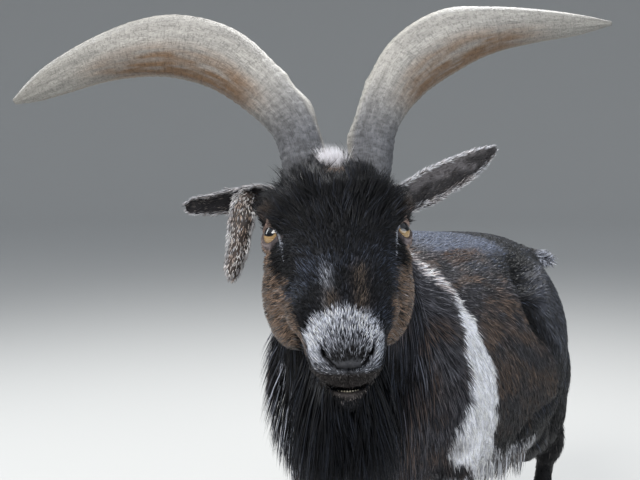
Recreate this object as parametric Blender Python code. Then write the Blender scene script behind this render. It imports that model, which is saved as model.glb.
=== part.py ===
"""A life-size pygmy goat with long spreading horns, standing with its head turned to its left.

Metres, +Z up. The goat faces -Y, its left side is +X, and its feet stand on Z = 0. The solids follow
the outside of the coat, and the long coat of the forelock, poll, beard, neck and tail is in flat
locks. Everything is shaped round the ground point under the withers, and the last step moves the
origin to the middle of the whole.
"""

import math
import random

import bmesh
import bpy
import numpy as np
from mathutils import Matrix, Vector
from mathutils.bvhtree import BVHTree

GAP = 0.0003

# The head's place: the middle between the eyes, its turn to the left and its lean to the right
EYE_MIDDLE = Vector((0.068, -0.285, 0.525))
HEAD_TURN = math.radians(27.5)
HEAD_LEAN = math.radians(2.0)
EYE_SPREAD = 0.0460
EYE_RADIUS = 0.0135
EYE_TURN = math.radians(57)
LID_RADIUS = 0.0168
EYE_OPENING = (0.0120, 0.0078)

# Torso: y, back height, belly height, height of the widest part, half width, squareness
TORSO = (
    (-0.150, 0.380, 0.300, 0.340, 0.020, 2.0),
    (-0.135, 0.430, 0.262, 0.345, 0.062, 2.0),
    (-0.095, 0.478, 0.226, 0.345, 0.097, 2.1),
    (-0.030, 0.499, 0.210, 0.345, 0.118, 2.2),
    (0.030, 0.503, 0.205, 0.338, 0.130, 2.2),
    (0.100, 0.499, 0.190, 0.328, 0.149, 2.3),
    (0.170, 0.493, 0.180, 0.320, 0.163, 2.4),
    (0.235, 0.487, 0.180, 0.320, 0.165, 2.4),
    (0.300, 0.482, 0.203, 0.328, 0.150, 2.3),
    (0.350, 0.477, 0.250, 0.352, 0.124, 2.2),
    (0.400, 0.470, 0.292, 0.372, 0.104, 2.2),
    (0.445, 0.456, 0.335, 0.388, 0.080, 2.1),
    (0.475, 0.430, 0.358, 0.390, 0.042, 2.0),
)
# Neck, from inside the shoulders to inside the skull: x, y, z, half width, rise, drop, squareness
NECK = (
    (0.000, 0.030, 0.390, 0.085, 0.100, 0.125, 2.0),
    (0.004, -0.060, 0.415, 0.080, 0.088, 0.118, 2.0),
    (0.018, -0.130, 0.445, 0.067, 0.075, 0.103, 2.0),
    (0.036, -0.190, 0.485, 0.057, 0.064, 0.082, 2.0),
    (0.050, -0.230, 0.515, 0.051, 0.054, 0.066, 2.0),
    (0.058, -0.252, 0.525, 0.040, 0.040, 0.050, 2.0),
)
# Where the neck is cut from the head and from the torso: a point, and the way out of the neck
NECK_TOP = (EYE_MIDDLE + Vector((-0.031, 0.068, -0.022)), Vector((0.40, -0.87, 0.28)))
NECK_FOOT = (Vector((0.0, -0.055, 0.360)), Vector((0.0, 0.985, -0.170)))

# Legs, top to bottom: distance outwards, y, z, half width, forward reach, back reach, squareness
FORELEG = (
    (0.060, -0.040, 0.400, 0.040, 0.060, 0.060, 2.0),
    (0.088, -0.030, 0.330, 0.042, 0.054, 0.056, 2.0),
    (0.090, -0.004, 0.270, 0.034, 0.038, 0.042, 2.0),
    (0.085, -0.004, 0.215, 0.024, 0.026, 0.029, 2.0),
    (0.080, -0.008, 0.160, 0.020, 0.022, 0.021, 2.2),
    (0.079, -0.008, 0.140, 0.019, 0.021, 0.019, 2.2),
    (0.078, -0.006, 0.105, 0.015, 0.015, 0.016, 2.0),
    (0.078, -0.006, 0.075, 0.016, 0.016, 0.018, 2.0),
    (0.078, -0.010, 0.058, 0.019, 0.019, 0.021, 2.0),
    (0.078, -0.022, 0.040, 0.019, 0.020, 0.018, 2.2),
    (0.078, -0.028, 0.020, 0.022, 0.023, 0.021, 2.2),
)
HINDLEG = (
    (0.050, 0.370, 0.420, 0.048, 0.070, 0.085, 2.0),
    (0.076, 0.362, 0.345, 0.048, 0.085, 0.100, 2.0),
    (0.100, 0.348, 0.285, 0.045, 0.068, 0.090, 2.0),
    (0.107, 0.352, 0.240, 0.038, 0.052, 0.064, 2.0),
    (0.103, 0.385, 0.203, 0.028, 0.038, 0.042, 2.0),
    (0.097, 0.428, 0.172, 0.020, 0.027, 0.028, 2.2),
    (0.094, 0.447, 0.145, 0.018, 0.021, 0.023, 2.2),
    (0.091, 0.444, 0.110, 0.015, 0.016, 0.017, 2.0),
    (0.089, 0.440, 0.078, 0.016, 0.016, 0.017, 2.0),
    (0.088, 0.434, 0.058, 0.019, 0.019, 0.020, 2.0),
    (0.087, 0.422, 0.040, 0.019, 0.020, 0.018, 2.2),
    (0.087, 0.416, 0.020, 0.022, 0.023, 0.021, 2.2),
)
# The box round each leg below its cut: nearest and farthest distance outwards, y range, height
FORELEG_BOX = (0.020, 0.180, -0.140, 0.110, 0.190)
HINDLEG_BOX = (0.035, 0.180, 0.290, 0.560, 0.215)
FOOT_HEIGHT = 0.0348
# Claw, top to sole: forward set, height, half width, forward reach, back reach, squareness
CLAW = (
    (0.001, 0.0345, 0.0100, 0.0170, 0.0150, 2.2),
    (0.000, 0.0180, 0.0108, 0.0215, 0.0155, 2.2),
    (0.000, 0.0030, 0.0112, 0.0265, 0.0165, 2.2),
    (0.000, 0.0000, 0.0106, 0.0255, 0.0160, 2.2),
)
CLAW_SPREAD = 0.0126
# The feet, fore and hind: distance outwards and y
FEET = (("fore", 0.078, -0.030), ("hind", 0.087, 0.414))
# Hip bone, seat bone and shoulder: sideways, y, z, and the three half sizes
BODY_FORMS = (
    (0.072, 0.335, 0.434, 0.030, 0.045, 0.028),
    (0.036, 0.450, 0.402, 0.026, 0.026, 0.036),
    (0.062, -0.030, 0.362, 0.052, 0.090, 0.115),
    (0.067, 0.012, 0.060, 0.007, 0.008, 0.010),
    (0.089, 0.012, 0.060, 0.007, 0.008, 0.010),
    (0.077, 0.454, 0.060, 0.007, 0.008, 0.010),
    (0.099, 0.454, 0.060, 0.007, 0.008, 0.010),
)

# Head, from the middle between the eyes: forward, up, half width, rise, drop, squareness
SKULL = (
    (-0.078, 0.004, 0.030, 0.034, 0.032, 2.0),
    (-0.060, 0.002, 0.048, 0.055, 0.050, 2.0),
    (-0.032, -0.006, 0.058, 0.067, 0.058, 2.1),
    (0.000, -0.024, 0.058, 0.065, 0.050, 2.2),
    (0.030, -0.049, 0.047, 0.051, 0.036, 2.2),
    (0.055, -0.071, 0.037, 0.040, 0.033, 2.2),
    (0.074, -0.088, 0.032, 0.032, 0.028, 2.2),
    (0.087, -0.099, 0.027, 0.022, 0.020, 2.1),
    (0.095, -0.106, 0.014, 0.010, 0.008, 2.0),
)
# Lower jaw, from its corner to the chin, in the same measures
JAW = (
    (-0.045, -0.055, 0.040, 0.030, 0.030, 2.0),
    (-0.015, -0.072, 0.042, 0.032, 0.030, 2.0),
    (0.020, -0.092, 0.034, 0.026, 0.026, 2.0),
    (0.046, -0.109, 0.026, 0.020, 0.020, 2.0),
    (0.066, -0.118, 0.022, 0.018, 0.015, 2.0),
    (0.083, -0.122, 0.014, 0.011, 0.010, 2.0),
)
# Rounded forms on both sides of the skull: sideways, forward, up, and the three half sizes
HEAD_FORMS = (
    (0.034, -0.014, -0.050, 0.032, 0.052, 0.052),  # cheek
    (0.040, -0.006, 0.014, 0.027, 0.034, 0.024),  # brow over the eye
    (0.040, 0.000, -0.022, 0.024, 0.036, 0.024),  # rim under the eye
    (0.028, 0.036, -0.056, 0.019, 0.042, 0.026),  # side of the face
    (0.018, 0.082, -0.074, 0.012, 0.015, 0.013),  # wing of the nostril
    (0.013, 0.082, -0.095, 0.016, 0.015, 0.012),  # upper lip
)
# The same on the middle line: forward, up, and the three half sizes
MIDDLE_FORMS = (
    (0.014, 0.024, 0.040, 0.024, 0.028),  # forehead
    (0.084, -0.072, 0.015, 0.015, 0.016),  # nose pad
    (0.078, -0.122, 0.016, 0.015, 0.013),  # chin
    (-0.045, 0.038, 0.042, 0.030, 0.022),  # poll
)
# The mouth, from the middle round to a corner: sideways, forward, up, half opening
MOUTH = (
    (0.0000, 0.104, -0.1080, 0.0020),
    (0.0100, 0.103, -0.1072, 0.0019),
    (0.0195, 0.094, -0.1050, 0.0014),
    (0.0285, 0.077, -0.0990, 0.0010),
    (0.0360, 0.054, -0.0900, 0.0007),
)
MOUTH_DEPTH = 0.021
# A nostril, from its tail to its foot: sideways, forward, up, half width
NOSTRIL = (
    (0.0235, 0.086, -0.0650, 0.0018),
    (0.0220, 0.094, -0.0730, 0.0034),
    (0.0175, 0.100, -0.0805, 0.0034),
    (0.0120, 0.104, -0.0850, 0.0016),
)
NOSTRIL_DEPTH = 0.014
# The row of teeth: half width, forward, height of the gum, thickness, root and crown
TEETH = (0.0100, 0.0910, -0.1095, 0.0030, 0.0075, 0.0024)

# Horns, from inside the skull to the tip: sideways, forward, up, half depth of the blade, half thickness
HORN_LEFT = (
    (0.028, -0.030, 0.025, 0.0180, 0.0155),
    (0.035, -0.043, 0.061, 0.0190, 0.0165),
    (0.041, -0.052, 0.090, 0.0192, 0.0165),
    (0.055, -0.066, 0.117, 0.0224, 0.0165),
    (0.080, -0.080, 0.147, 0.0279, 0.0170),
    (0.116, -0.089, 0.168, 0.0282, 0.0165),
    (0.156, -0.097, 0.177, 0.0212, 0.0145),
    (0.199, -0.102, 0.180, 0.0153, 0.0120),
    (0.240, -0.105, 0.180, 0.0096, 0.0085),
    (0.274, -0.109, 0.181, 0.0020, 0.0020),
)
HORN_RIGHT = (
    (0.021, -0.030, 0.025, 0.0180, 0.0155),
    (0.024, -0.044, 0.058, 0.0195, 0.0165),
    (0.033, -0.057, 0.093, 0.0198, 0.0165),
    (0.058, -0.074, 0.126, 0.0236, 0.0165),
    (0.093, -0.090, 0.156, 0.0283, 0.0170),
    (0.132, -0.102, 0.170, 0.0287, 0.0165),
    (0.168, -0.110, 0.171, 0.0262, 0.0155),
    (0.210, -0.119, 0.163, 0.0212, 0.0135),
    (0.250, -0.127, 0.149, 0.0165, 0.0110),
    (0.276, -0.131, 0.137, 0.0110, 0.0080),
    (0.297, -0.134, 0.127, 0.0030, 0.0030),
)

# Ears, from inside the skull to the tip: sideways, forward, up, half width, cup depth
EAR_LEFT = (
    (0.055, -0.039, 0.021, 0.0120, 0.0090),
    (0.065, -0.037, 0.026, 0.0155, 0.0110),
    (0.084, -0.037, 0.035, 0.0180, 0.0110),
    (0.108, -0.041, 0.046, 0.0165, 0.0090),
    (0.131, -0.046, 0.057, 0.0115, 0.0060),
    (0.149, -0.052, 0.068, 0.0025, 0.0015),
)
EAR_RIGHT = (
    (0.052, -0.038, 0.024, 0.0125, 0.0080),
    (0.064, -0.039, 0.029, 0.0145, 0.0080),
    (0.084, -0.041, 0.029, 0.0125, 0.0060),
    (0.106, -0.044, 0.027, 0.0095, 0.0040),
    (0.122, -0.045, 0.026, 0.0080, 0.0030),
    (0.131, -0.046, 0.025, 0.0040, 0.0015),
)
# The torn strip of the right ear, hanging from its root
EAR_FLAP = (
    (0.055, -0.044, 0.025, 0.0080, 0.0040),
    (0.068, -0.046, 0.031, 0.0095, 0.0040),
    (0.078, -0.035, 0.028, 0.0105, 0.0045),
    (0.082, -0.025, 0.010, 0.0105, 0.0045),
    (0.086, -0.021, -0.012, 0.0090, 0.0050),
    (0.090, -0.019, -0.029, 0.0065, 0.0045),
    (0.092, -0.019, -0.038, 0.0022, 0.0015),
)
EAR_THICKNESS = 0.0032

# Tail, carried out to the left: x, y, z, half width, rise, drop, squareness
TAIL = (
    (0.000, 0.430, 0.430, 0.024, 0.014, 0.014, 2.0),
    (0.006, 0.472, 0.438, 0.023, 0.013, 0.013, 2.0),
    (0.026, 0.496, 0.436, 0.020, 0.011, 0.011, 2.0),
    (0.054, 0.510, 0.426, 0.017, 0.010, 0.010, 2.0),
    (0.082, 0.518, 0.412, 0.012, 0.008, 0.008, 2.0),
    (0.104, 0.521, 0.399, 0.003, 0.002, 0.002, 2.0),
)

# Locks. Along each lock: the place of a ring as a share of the length, and its share of the width
LOCK_SHAPE = ((0.30, 1.0), (0.66, 0.72))
LOCK_ROOT = 0.008
# Forelock, bottom to top: height, half width of the row, number, length; and where the hair parts
FORELOCK = (
    (0.004, 0.032, 5, 0.032),
    (0.019, 0.038, 6, 0.034),
    (0.033, 0.036, 6, 0.028),
    (0.043, 0.026, 4, 0.022),
)
PARTING = -0.006
# Poll, front to back: forward, half width, number, length
POLL = ((-0.030, 0.010, 2, 0.024), (-0.044, 0.016, 3, 0.026), (-0.058, 0.030, 4, 0.028))
# Beard, front to back: forward, half width, number, length
BEARD = (
    (0.080, 0.007, 2, 0.060),
    (0.064, 0.014, 3, 0.090),
    (0.047, 0.019, 4, 0.115),
    (0.028, 0.023, 4, 0.100),
    (0.010, 0.028, 4, 0.075),
)
BEARD_MIDDLE = 0.040
# Neck, top to bottom: x, y, z of the row's middle, turn of its ends in degrees, number, length
MANE = (
    (0.047, -0.208, 0.470, 100, 5, 0.075),
    (0.038, -0.190, 0.445, 105, 6, 0.085),
    (0.030, -0.170, 0.418, 100, 6, 0.090),
    (0.021, -0.148, 0.388, 95, 5, 0.090),
    (0.012, -0.128, 0.358, 90, 5, 0.085),
    (0.005, -0.108, 0.327, 80, 5, 0.080),
    (0.000, -0.092, 0.295, 65, 4, 0.070),
    (0.000, -0.080, 0.262, 50, 3, 0.055),
)
# Tail, root to tip: share of the length, number round it, length
BRUSH = ((0.36, 4, 0.046), (0.58, 4, 0.046), (0.76, 4, 0.042), (0.92, 3, 0.034))

BLACK = (0.012, 0.012, 0.014)
BROWN = (0.060, 0.040, 0.030)
GREY = (0.180, 0.170, 0.160)
HORN = (0.330, 0.290, 0.230)
HOOF = (0.050, 0.045, 0.040)
AMBER = (0.450, 0.280, 0.100)
IVORY = (0.700, 0.660, 0.560)
# The first word of a node's name: colour and roughness
FINISHES = {
    "head": (BLACK, 0.8),
    "neck": (BLACK, 0.8),
    "torso": (BROWN, 0.8),
    "tail": (GREY, 0.8),
    "foreleg": (BLACK, 0.8),
    "hindleg": (BLACK, 0.8),
    "hoof": (HOOF, 0.5),
    "ear": (GREY, 0.8),
    "eye": (AMBER, 0.1),
    "horn": (HORN, 0.5),
    "teeth": (IVORY, 0.3),
}


def paint(obj):
    """Gives the object a Principled material of its own."""
    colour, roughness = FINISHES[obj.name.split("_")[0]]
    made = bpy.data.materials.new(obj.name)
    made.use_nodes = True
    shader = made.node_tree.nodes["Principled BSDF"]
    shader.inputs["Base Color"].default_value = (*colour, 1.0)
    shader.inputs["Roughness"].default_value = roughness
    shader.inputs["Metallic"].default_value = 0.0
    obj.data.materials.clear()
    obj.data.materials.append(made)


def smooth_rows(rows, steps):
    """The rows with steps - 1 more in each gap, on a smooth curve through them."""
    rows = np.array(rows, float)
    padded = np.vstack([2 * rows[0] - rows[1], rows, 2 * rows[-1] - rows[-2]])
    found = []
    for a, b, c, d in zip(padded, padded[1:], padded[2:], padded[3:]):
        for k in range(steps):
            t = k / steps
            bend = 2 * a - 5 * b + 4 * c - d + t * (3 * (b - c) + d - a)
            found.append(b + 0.5 * t * (c - a + t * bend))
    found.append(rows[-1])
    return np.array(found)


def link(name, shape):
    """An object in the scene made of the closed shape, its faces turned outwards."""
    bmesh.ops.recalc_face_normals(shape, faces=shape.faces)
    if shape.calc_volume(signed=True) < 0:
        bmesh.ops.reverse_faces(shape, faces=shape.faces)
    mesh = bpy.data.meshes.new(name)
    shape.to_mesh(mesh)
    shape.free()
    made = bpy.data.objects.new(name, mesh)
    bpy.context.scene.collection.objects.link(made)
    return made


def loft(name, rings):
    """A closed object through rings with the same number of points, the last one perhaps a tip."""
    shape = bmesh.new()
    rows = [[shape.verts.new(point) for point in ring] for ring in rings]
    count = len(rows[0])
    for a, b in zip(rows, rows[1:]):
        for i in range(count):
            j = (i + 1) % count
            shape.faces.new((a[i], a[j], b[0]) if len(b) == 1 else (a[i], a[j], b[j], b[i]))
    shape.faces.new(rows[0][::-1])
    if len(rows[-1]) > 1:
        shape.faces.new(rows[-1])
    return link(name, shape)


def rounded(value, power):
    """A cosine or sine bent towards a squarer section."""
    return math.copysign(abs(value) ** (2.0 / power), value)


def section(centre, across, up, measures, sides):
    """The points of one rounded section with its half width, rise, drop and squareness."""
    half_width, rise, drop, power = measures
    points = []
    for k in range(sides):
        angle = 2 * math.pi * (k + 0.5) / sides
        height = rise if math.sin(angle) > 0 else drop
        out = across * half_width * rounded(math.cos(angle), power)
        points.append(centre + out + up * height * rounded(math.sin(angle), power))
    return points


def tube(name, stations, place, side=Vector((1, 0, 0)), sides=20, steps=3, lie=None):
    """A loft along stations of position, half width, rise, drop and squareness.

    Its sections are square to the path, or to the direction of lie if that is given.
    """
    rows = smooth_rows(stations, steps)
    centres = [place @ Vector(row[:3]) for row in rows]
    side = (place.to_3x3() @ side).normalized()
    rings = []
    for i, row in enumerate(rows):
        along = lie or centres[min(i + 1, len(rows) - 1)] - centres[max(i - 1, 0)]
        along = along.normalized()
        across = (side - along * side.dot(along)).normalized()
        rings.append(section(centres[i], across, across.cross(along), row[3:7], sides))
    return loft(name, rings)


def ellipsoid(name, centre, radii, place, rings=10):
    """A rounded form with three half sizes, along the axes of place."""
    shape = bmesh.new()
    bmesh.ops.create_uvsphere(shape, u_segments=2 * rings, v_segments=rings, radius=1.0)
    shape.transform(place @ Matrix.Translation(centre) @ Matrix.Diagonal((*radii, 1.0)))
    return link(name, shape)


def box(name, low, high, place):
    """A box between two corners, along the axes of place."""
    low, high = Vector(low), Vector(high)
    shape = bmesh.new()
    bmesh.ops.create_cube(shape, size=1.0)
    shape.transform(place @ Matrix.Translation((low + high) / 2) @ Matrix.Diagonal((*(high - low), 1.0)))
    return link(name, shape)


def beyond(plane, offset):
    """A large block that fills the side of a plane that its direction points to."""
    point, direction = plane
    direction = direction.normalized()
    turn = direction.to_track_quat("Z", "Y").to_matrix().to_4x4()
    place = Matrix.Translation(point + direction * offset) @ turn
    return box("beyond", (-1, -1, 0), (1, 1, 2), place)


def behind(plane, offset):
    """A large block on the other side of a plane, set back from it by the offset."""
    point, direction = plane
    return beyond((point, -direction), offset)


def applied(obj):
    """The object with its modifiers made part of its mesh."""
    bpy.context.view_layer.update()
    graph = bpy.context.evaluated_depsgraph_get()
    mesh = bpy.data.meshes.new_from_object(obj.evaluated_get(graph))
    obj.modifiers.clear()
    obj.data = mesh
    return obj


def discard(objects):
    for obj in objects:
        bpy.data.objects.remove(obj)


def copy_of(obj, name="copy"):
    made = obj.copy()
    made.data = obj.data.copy()
    made.name = name
    bpy.context.scene.collection.objects.link(made)
    return made


def grown(obj, by=GAP):
    """A copy of the object whose skin stands out by the gap."""
    made = copy_of(obj)
    swell = made.modifiers.new("Swell", "DISPLACE")
    swell.mid_level = 0.0
    swell.strength = by
    return applied(made)


def boolean(obj, others, operation, solver="EXACT"):
    """Joins the others to the object, cuts them from it or keeps what they share, and removes them."""
    group = bpy.data.collections.new("tools")
    bpy.context.scene.collection.children.link(group)
    for other in others:
        group.objects.link(other)
    change = obj.modifiers.new("Boolean", "BOOLEAN")
    change.operation = operation
    change.operand_type = "COLLECTION"
    change.collection = group
    change.solver = solver
    applied(obj)
    discard(others)
    bpy.data.collections.remove(group)
    return largest_body(obj)


def largest_body(obj):
    """The object with only its largest closed surface left."""
    shape = bmesh.new()
    shape.from_mesh(obj.data)
    bmesh.ops.triangulate(shape, faces=shape.faces)
    bodies, seen = [], set()
    for start in shape.faces:
        if start in seen:
            continue
        body, front = [], [start]
        seen.add(start)
        while front:
            face = front.pop()
            body.append(face)
            for edge in face.edges:
                for other in edge.link_faces:
                    if other not in seen:
                        seen.add(other)
                        front.append(other)
        bodies.append(body)
    bodies.sort(key=lambda body: sum(face.calc_area() for face in body))
    scraps = [face for body in bodies[:-1] for face in body]
    bmesh.ops.delete(shape, geom=scraps, context="FACES")
    shape.to_mesh(obj.data)
    shape.free()
    return obj


def thinned(obj, triangles):
    """The object with about that many triangles."""
    thin = obj.modifiers.new("Thin", "DECIMATE")
    thin.ratio = min(1.0, triangles / len(obj.data.polygons))
    return largest_body(applied(obj))


def fused(name, pieces, voxel, rounds, triangles):
    """The pieces melted into one smooth closed form."""
    first = pieces[0]
    shape = bmesh.new()
    for piece in pieces:
        shape.from_mesh(piece.data)
    shape.to_mesh(first.data)
    shape.free()
    discard(pieces[1:])
    first.name = name
    remesh = first.modifiers.new("Remesh", "REMESH")
    remesh.mode = "VOXEL"
    remesh.voxel_size = voxel
    melt = first.modifiers.new("Melt", "SMOOTH")
    melt.factor = 0.5
    melt.iterations = rounds
    largest_body(applied(first))
    return thinned(first, triangles)


def head_place():
    """The head's own axes: left, forward and up, from the middle between the eyes."""
    forward = Vector((math.sin(HEAD_TURN), -math.cos(HEAD_TURN), 0.0))
    left = Vector((math.cos(HEAD_TURN), math.sin(HEAD_TURN), 0.0))
    up = Vector((0.0, 0.0, 1.0))
    leaning_up = up * math.cos(HEAD_LEAN) - left * math.sin(HEAD_LEAN)
    leaning_left = left * math.cos(HEAD_LEAN) + up * math.sin(HEAD_LEAN)
    turn = Matrix((leaning_left, forward, leaning_up)).transposed().to_4x4()
    return Matrix.Translation(EYE_MIDDLE) @ turn


HEAD = head_place()
BODY = Matrix.Identity(4)


def on_both_sides(name, forms, place):
    """The rounded forms of a table, each on the left and on the right."""
    pieces = []
    for out, forward, up, *radii in forms:
        for side in (-1, 1):
            pieces.append(ellipsoid(name, Vector((side * out, forward, up)), radii, place))
    return pieces


def leg(stations, side):
    rows = [(side * out, *row) for out, *row in stations]
    return tube("leg", rows, BODY, side=Vector((-1, 0, 0)), sides=16, steps=2)


def neck():
    return tube("neck", NECK, BODY, side=Vector((-1, 0, 0)), sides=24)


def skull():
    """The skull and jaw with the cheeks, brows, lips and chin."""
    right = Vector((-1, 0, 0))
    pieces = [tube("skull", [(0.0, *row) for row in SKULL], HEAD, side=right, sides=24)]
    pieces.append(tube("jaw", [(0.0, *row) for row in JAW], HEAD, side=right, sides=16))
    for forward, up, *radii in MIDDLE_FORMS:
        pieces.append(ellipsoid("form", Vector((0.0, forward, up)), radii, HEAD))
    return pieces + on_both_sides("form", HEAD_FORMS, HEAD)


def whole_body():
    """The torso, neck, legs and skull melted together, to be cut into its nodes."""
    rows = [(0, y, wide, half, top - wide, wide - low, power) for y, top, low, wide, half, power in TORSO]
    pieces = [tube("torso", rows, BODY, sides=28, lie=Vector((0, 1, 0))), neck(), *skull()]
    pieces += on_both_sides("form", BODY_FORMS, BODY)
    pieces += [leg(stations, side) for stations in (FORELEG, HINDLEG) for side in (-1, 1)]
    return fused("torso", pieces, 0.004, 8, 4300)


def cut_body(torso):
    """Cuts the whole body into neck, torso and legs, a gap apart."""
    neck_node = copy_of(torso, "neck")
    boolean(neck_node, [beyond(NECK_TOP, -GAP / 2)], "DIFFERENCE")
    boolean(neck_node, [beyond(NECK_FOOT, -GAP / 2)], "DIFFERENCE")
    for name, shape, side in (
        ("foreleg_left", FORELEG_BOX, 1),
        ("foreleg_right", FORELEG_BOX, -1),
        ("hindleg_left", HINDLEG_BOX, 1),
        ("hindleg_right", HINDLEG_BOX, -1),
    ):
        near, far, front, back, height = shape
        left, right = sorted((side * near, side * far))
        low, high = Vector((left, front, FOOT_HEIGHT)), Vector((right, back, height))
        rim = Vector((GAP, GAP, GAP))
        boolean(copy_of(torso, name), [box("limb", low, high, BODY)], "INTERSECT")
        low.z = -0.1
        boolean(torso, [box("limb", low - rim, high + rim, BODY)], "DIFFERENCE")
    boolean(torso, [behind(NECK_FOOT, -GAP / 2)], "DIFFERENCE")
    return neck_node


def make_hooves():
    """Two claws under each foot."""
    for end, out, y in FEET:
        for label, side in (("left", 1), ("right", -1)):
            for place, apart in (("outer", CLAW_SPREAD), ("inner", -CLAW_SPREAD)):
                rows = [(side * (out + apart), y + forward, *row) for forward, *row in CLAW]
                name = "_".join(("hoof", end, label, place))
                tube(name, rows, BODY, side=Vector((-1, 0, 0)), sides=12, steps=1, lie=Vector((0, 0, -1)))


def horn(name, rows, side):
    """A flattened horn along its curve, thin from front to back."""
    stations = []
    for out, forward, up, deep, thick in rows:
        stations.append((side * out, forward, up, thick, deep, deep, 2.2))
    return tube(name, stations, HEAD, side=Vector((0, 1, 0)), sides=12, steps=3)


def ear(name, rows, side, opening):
    """A cupped leaf along its rows, hollow towards the opening."""
    rows = smooth_rows(rows, 2)
    centres = [HEAD @ Vector((side * row[0], row[1], row[2])) for row in rows]
    rings = []
    for i, row in enumerate(rows):
        along = centres[min(i + 1, len(rows) - 1)] - centres[max(i - 1, 0)]
        along.normalize()
        out = HEAD.to_3x3() @ Vector((side * opening[0], opening[1], opening[2]))
        out = (out - along * out.dot(along)).normalized()
        across = along.cross(out)
        thick = EAR_THICKNESS * min(1.0, row[3] / 0.006)
        back, front = [], []
        for s in np.linspace(-1, 1, 7):
            point = centres[i] + across * (row[3] * s) - out * (row[4] * (1 - s * s))
            back.append(point)
            front.append(point + out * (thick * (1 - 0.6 * s * s)))
        rings.append(back + front[::-1])
    return loft(name, rings)


def eye_axes(side):
    """The eye's own axes: its width, its height and the way it looks, from the eye's centre."""
    look = Vector((side * math.sin(EYE_TURN), math.cos(EYE_TURN), 0.06)).normalized()
    wide = Vector((0, 0, 1)).cross(look).normalized()
    turn = Matrix((wide, look.cross(wide), look)).transposed().to_4x4()
    return HEAD @ Matrix.Translation((side * EYE_SPREAD, 0, 0)) @ turn


def eye_opening(side):
    """The almond that opens between the lids."""
    half_width, half_height = EYE_OPENING
    rings = []
    for depth, scale in ((0.004, 0.85), (0.016, 1.0), (0.030, 1.3)):
        ring = []
        for k in range(14):
            angle = 2 * math.pi * k / 14
            height = math.copysign(abs(math.sin(angle)) ** 1.4, math.sin(angle))
            point = Vector((half_width * scale * math.cos(angle), half_height * scale * height, depth))
            ring.append(eye_axes(side) @ point)
        rings.append(ring)
    return loft("opening", rings)


def slot(rows, depth):
    """A thin level cut round the muzzle, along rows of sideways, forward, up and half opening."""
    rings = []
    for i, (out, forward, up, half) in enumerate(rows):
        before, after = rows[max(i - 1, 0)], rows[min(i + 1, len(rows) - 1)]
        along = Vector((after[0] - before[0], after[1] - before[1], 0)).normalized()
        inward = Vector((along.y, -along.x, 0))
        if inward.y > 0:
            inward = -inward
        point = Vector((out, forward, up))
        outside, inside = point - inward * 0.012, point + inward * depth
        lift = Vector((0, 0, half))
        ring = (outside - lift, inside - lift / 2, inside + lift / 2, outside + lift)
        rings.append([HEAD @ corner for corner in ring])
    return loft("slot", rings)


def nostril(side):
    """A hole in the shape of a comma."""
    rings = []
    rows = smooth_rows([(side * out, *row) for out, *row in NOSTRIL], 2)
    inward = Vector((-side * 0.25, -0.85, 0.15)).normalized()
    for i, row in enumerate(rows):
        along = Vector(rows[min(i + 1, len(rows) - 1)][:3] - rows[max(i - 1, 0)][:3])
        lift = along.cross(inward).normalized() * row[3]
        point = Vector(row[:3])
        outside, inside = point - inward * 0.012, point + inward * NOSTRIL_DEPTH
        ring = (outside - lift, inside - lift * 0.6, inside + lift * 0.6, outside + lift)
        rings.append([HEAD @ corner for corner in ring])
    return loft("nostril", rings)


def make_teeth():
    """The row of lower front teeth that shows between the lips."""
    half_row, forward, gum, thick, root, crown = TEETH
    rings = []
    for k in range(9):
        across = -1 + k / 4
        back = forward - 0.004 * across * across
        notch = 0.0007 if k % 2 else 0.0
        low = Vector((across * half_row, back - 0.001, gum - root))
        top = Vector((across * half_row, back, gum + crown - notch))
        ring = (low, top, top - Vector((0, thick * 0.4, 0)), low - Vector((0, thick, 0)))
        rings.append([HEAD @ corner for corner in ring])
    return loft("teeth", rings)


def skin_of(obj):
    """The object's surface, for finding roots on it."""
    mesh = obj.data
    return BVHTree.FromPolygons([v.co for v in mesh.vertices], [tuple(p.vertices) for p in mesh.polygons])


def root_on(skin, target, outward):
    """The place and the normal where a line from outside to the target meets the skin."""
    outward = outward.normalized()
    return skin.ray_cast(target + outward * 0.5, -outward)[:2]


def leaving(normal, lie, lift):
    """The way a lock starts: along the skin in the direction of its lie, lifted off it."""
    return ((lie - normal * lie.dot(normal)).normalized() + normal * lift).normalized()


def lock(root, start, bend, length, width, facing=None):
    """A flat tapered lock that bends on its way, its flat side along the skin or facing as given."""
    place, normal = root
    turn = (start + bend).normalized() - start
    across = (facing or normal).cross(start).normalized()
    rings = []
    for t, share in ((0.0, 0.8), *LOCK_SHAPE, (1.0, 0.0)):
        middle = place + (start * t + turn * (t * t / 2)) * length
        if t == 0.0:
            middle -= start * LOCK_ROOT * 0.5 + normal * LOCK_ROOT
        flat = (start + turn * t).normalized().cross(across)
        wide, thick = across * (width * share / 2), flat * (width * share * 0.14)
        rings.append([middle + wide, middle + thick, middle - wide, middle - thick])
    rings[-1] = [middle]
    return loft("lock", rings)


def spread(count, half):
    """Places of a row of locks, evenly to both sides of the middle."""
    return [half * (2 * (k + 0.5) / count - 1) for k in range(count)]


def forelock(head, draw):
    """Locks that rise and spread from the parting on the forehead."""
    skin = skin_of(head)
    turn = HEAD.to_3x3()
    made = []
    for up, half, count, length in FORELOCK:
        for out in spread(count, half):
            out += draw.uniform(-0.003, 0.003)
            root = root_on(skin, HEAD @ Vector((out, 0.0, up)), turn @ Vector((out * 4, 1.0, 0.3)))
            lie = turn @ Vector((out + draw.uniform(-0.006, 0.006), 0.0, up - PARTING))
            start = leaving(root[1], lie, draw.uniform(0.30, 0.50))
            bend = turn @ Vector((out * 6, draw.uniform(-0.80, -0.20), -0.10))
            made.append(lock(root, start, bend, length * draw.uniform(0.85, 1.1), 0.017))
    return made


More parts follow.
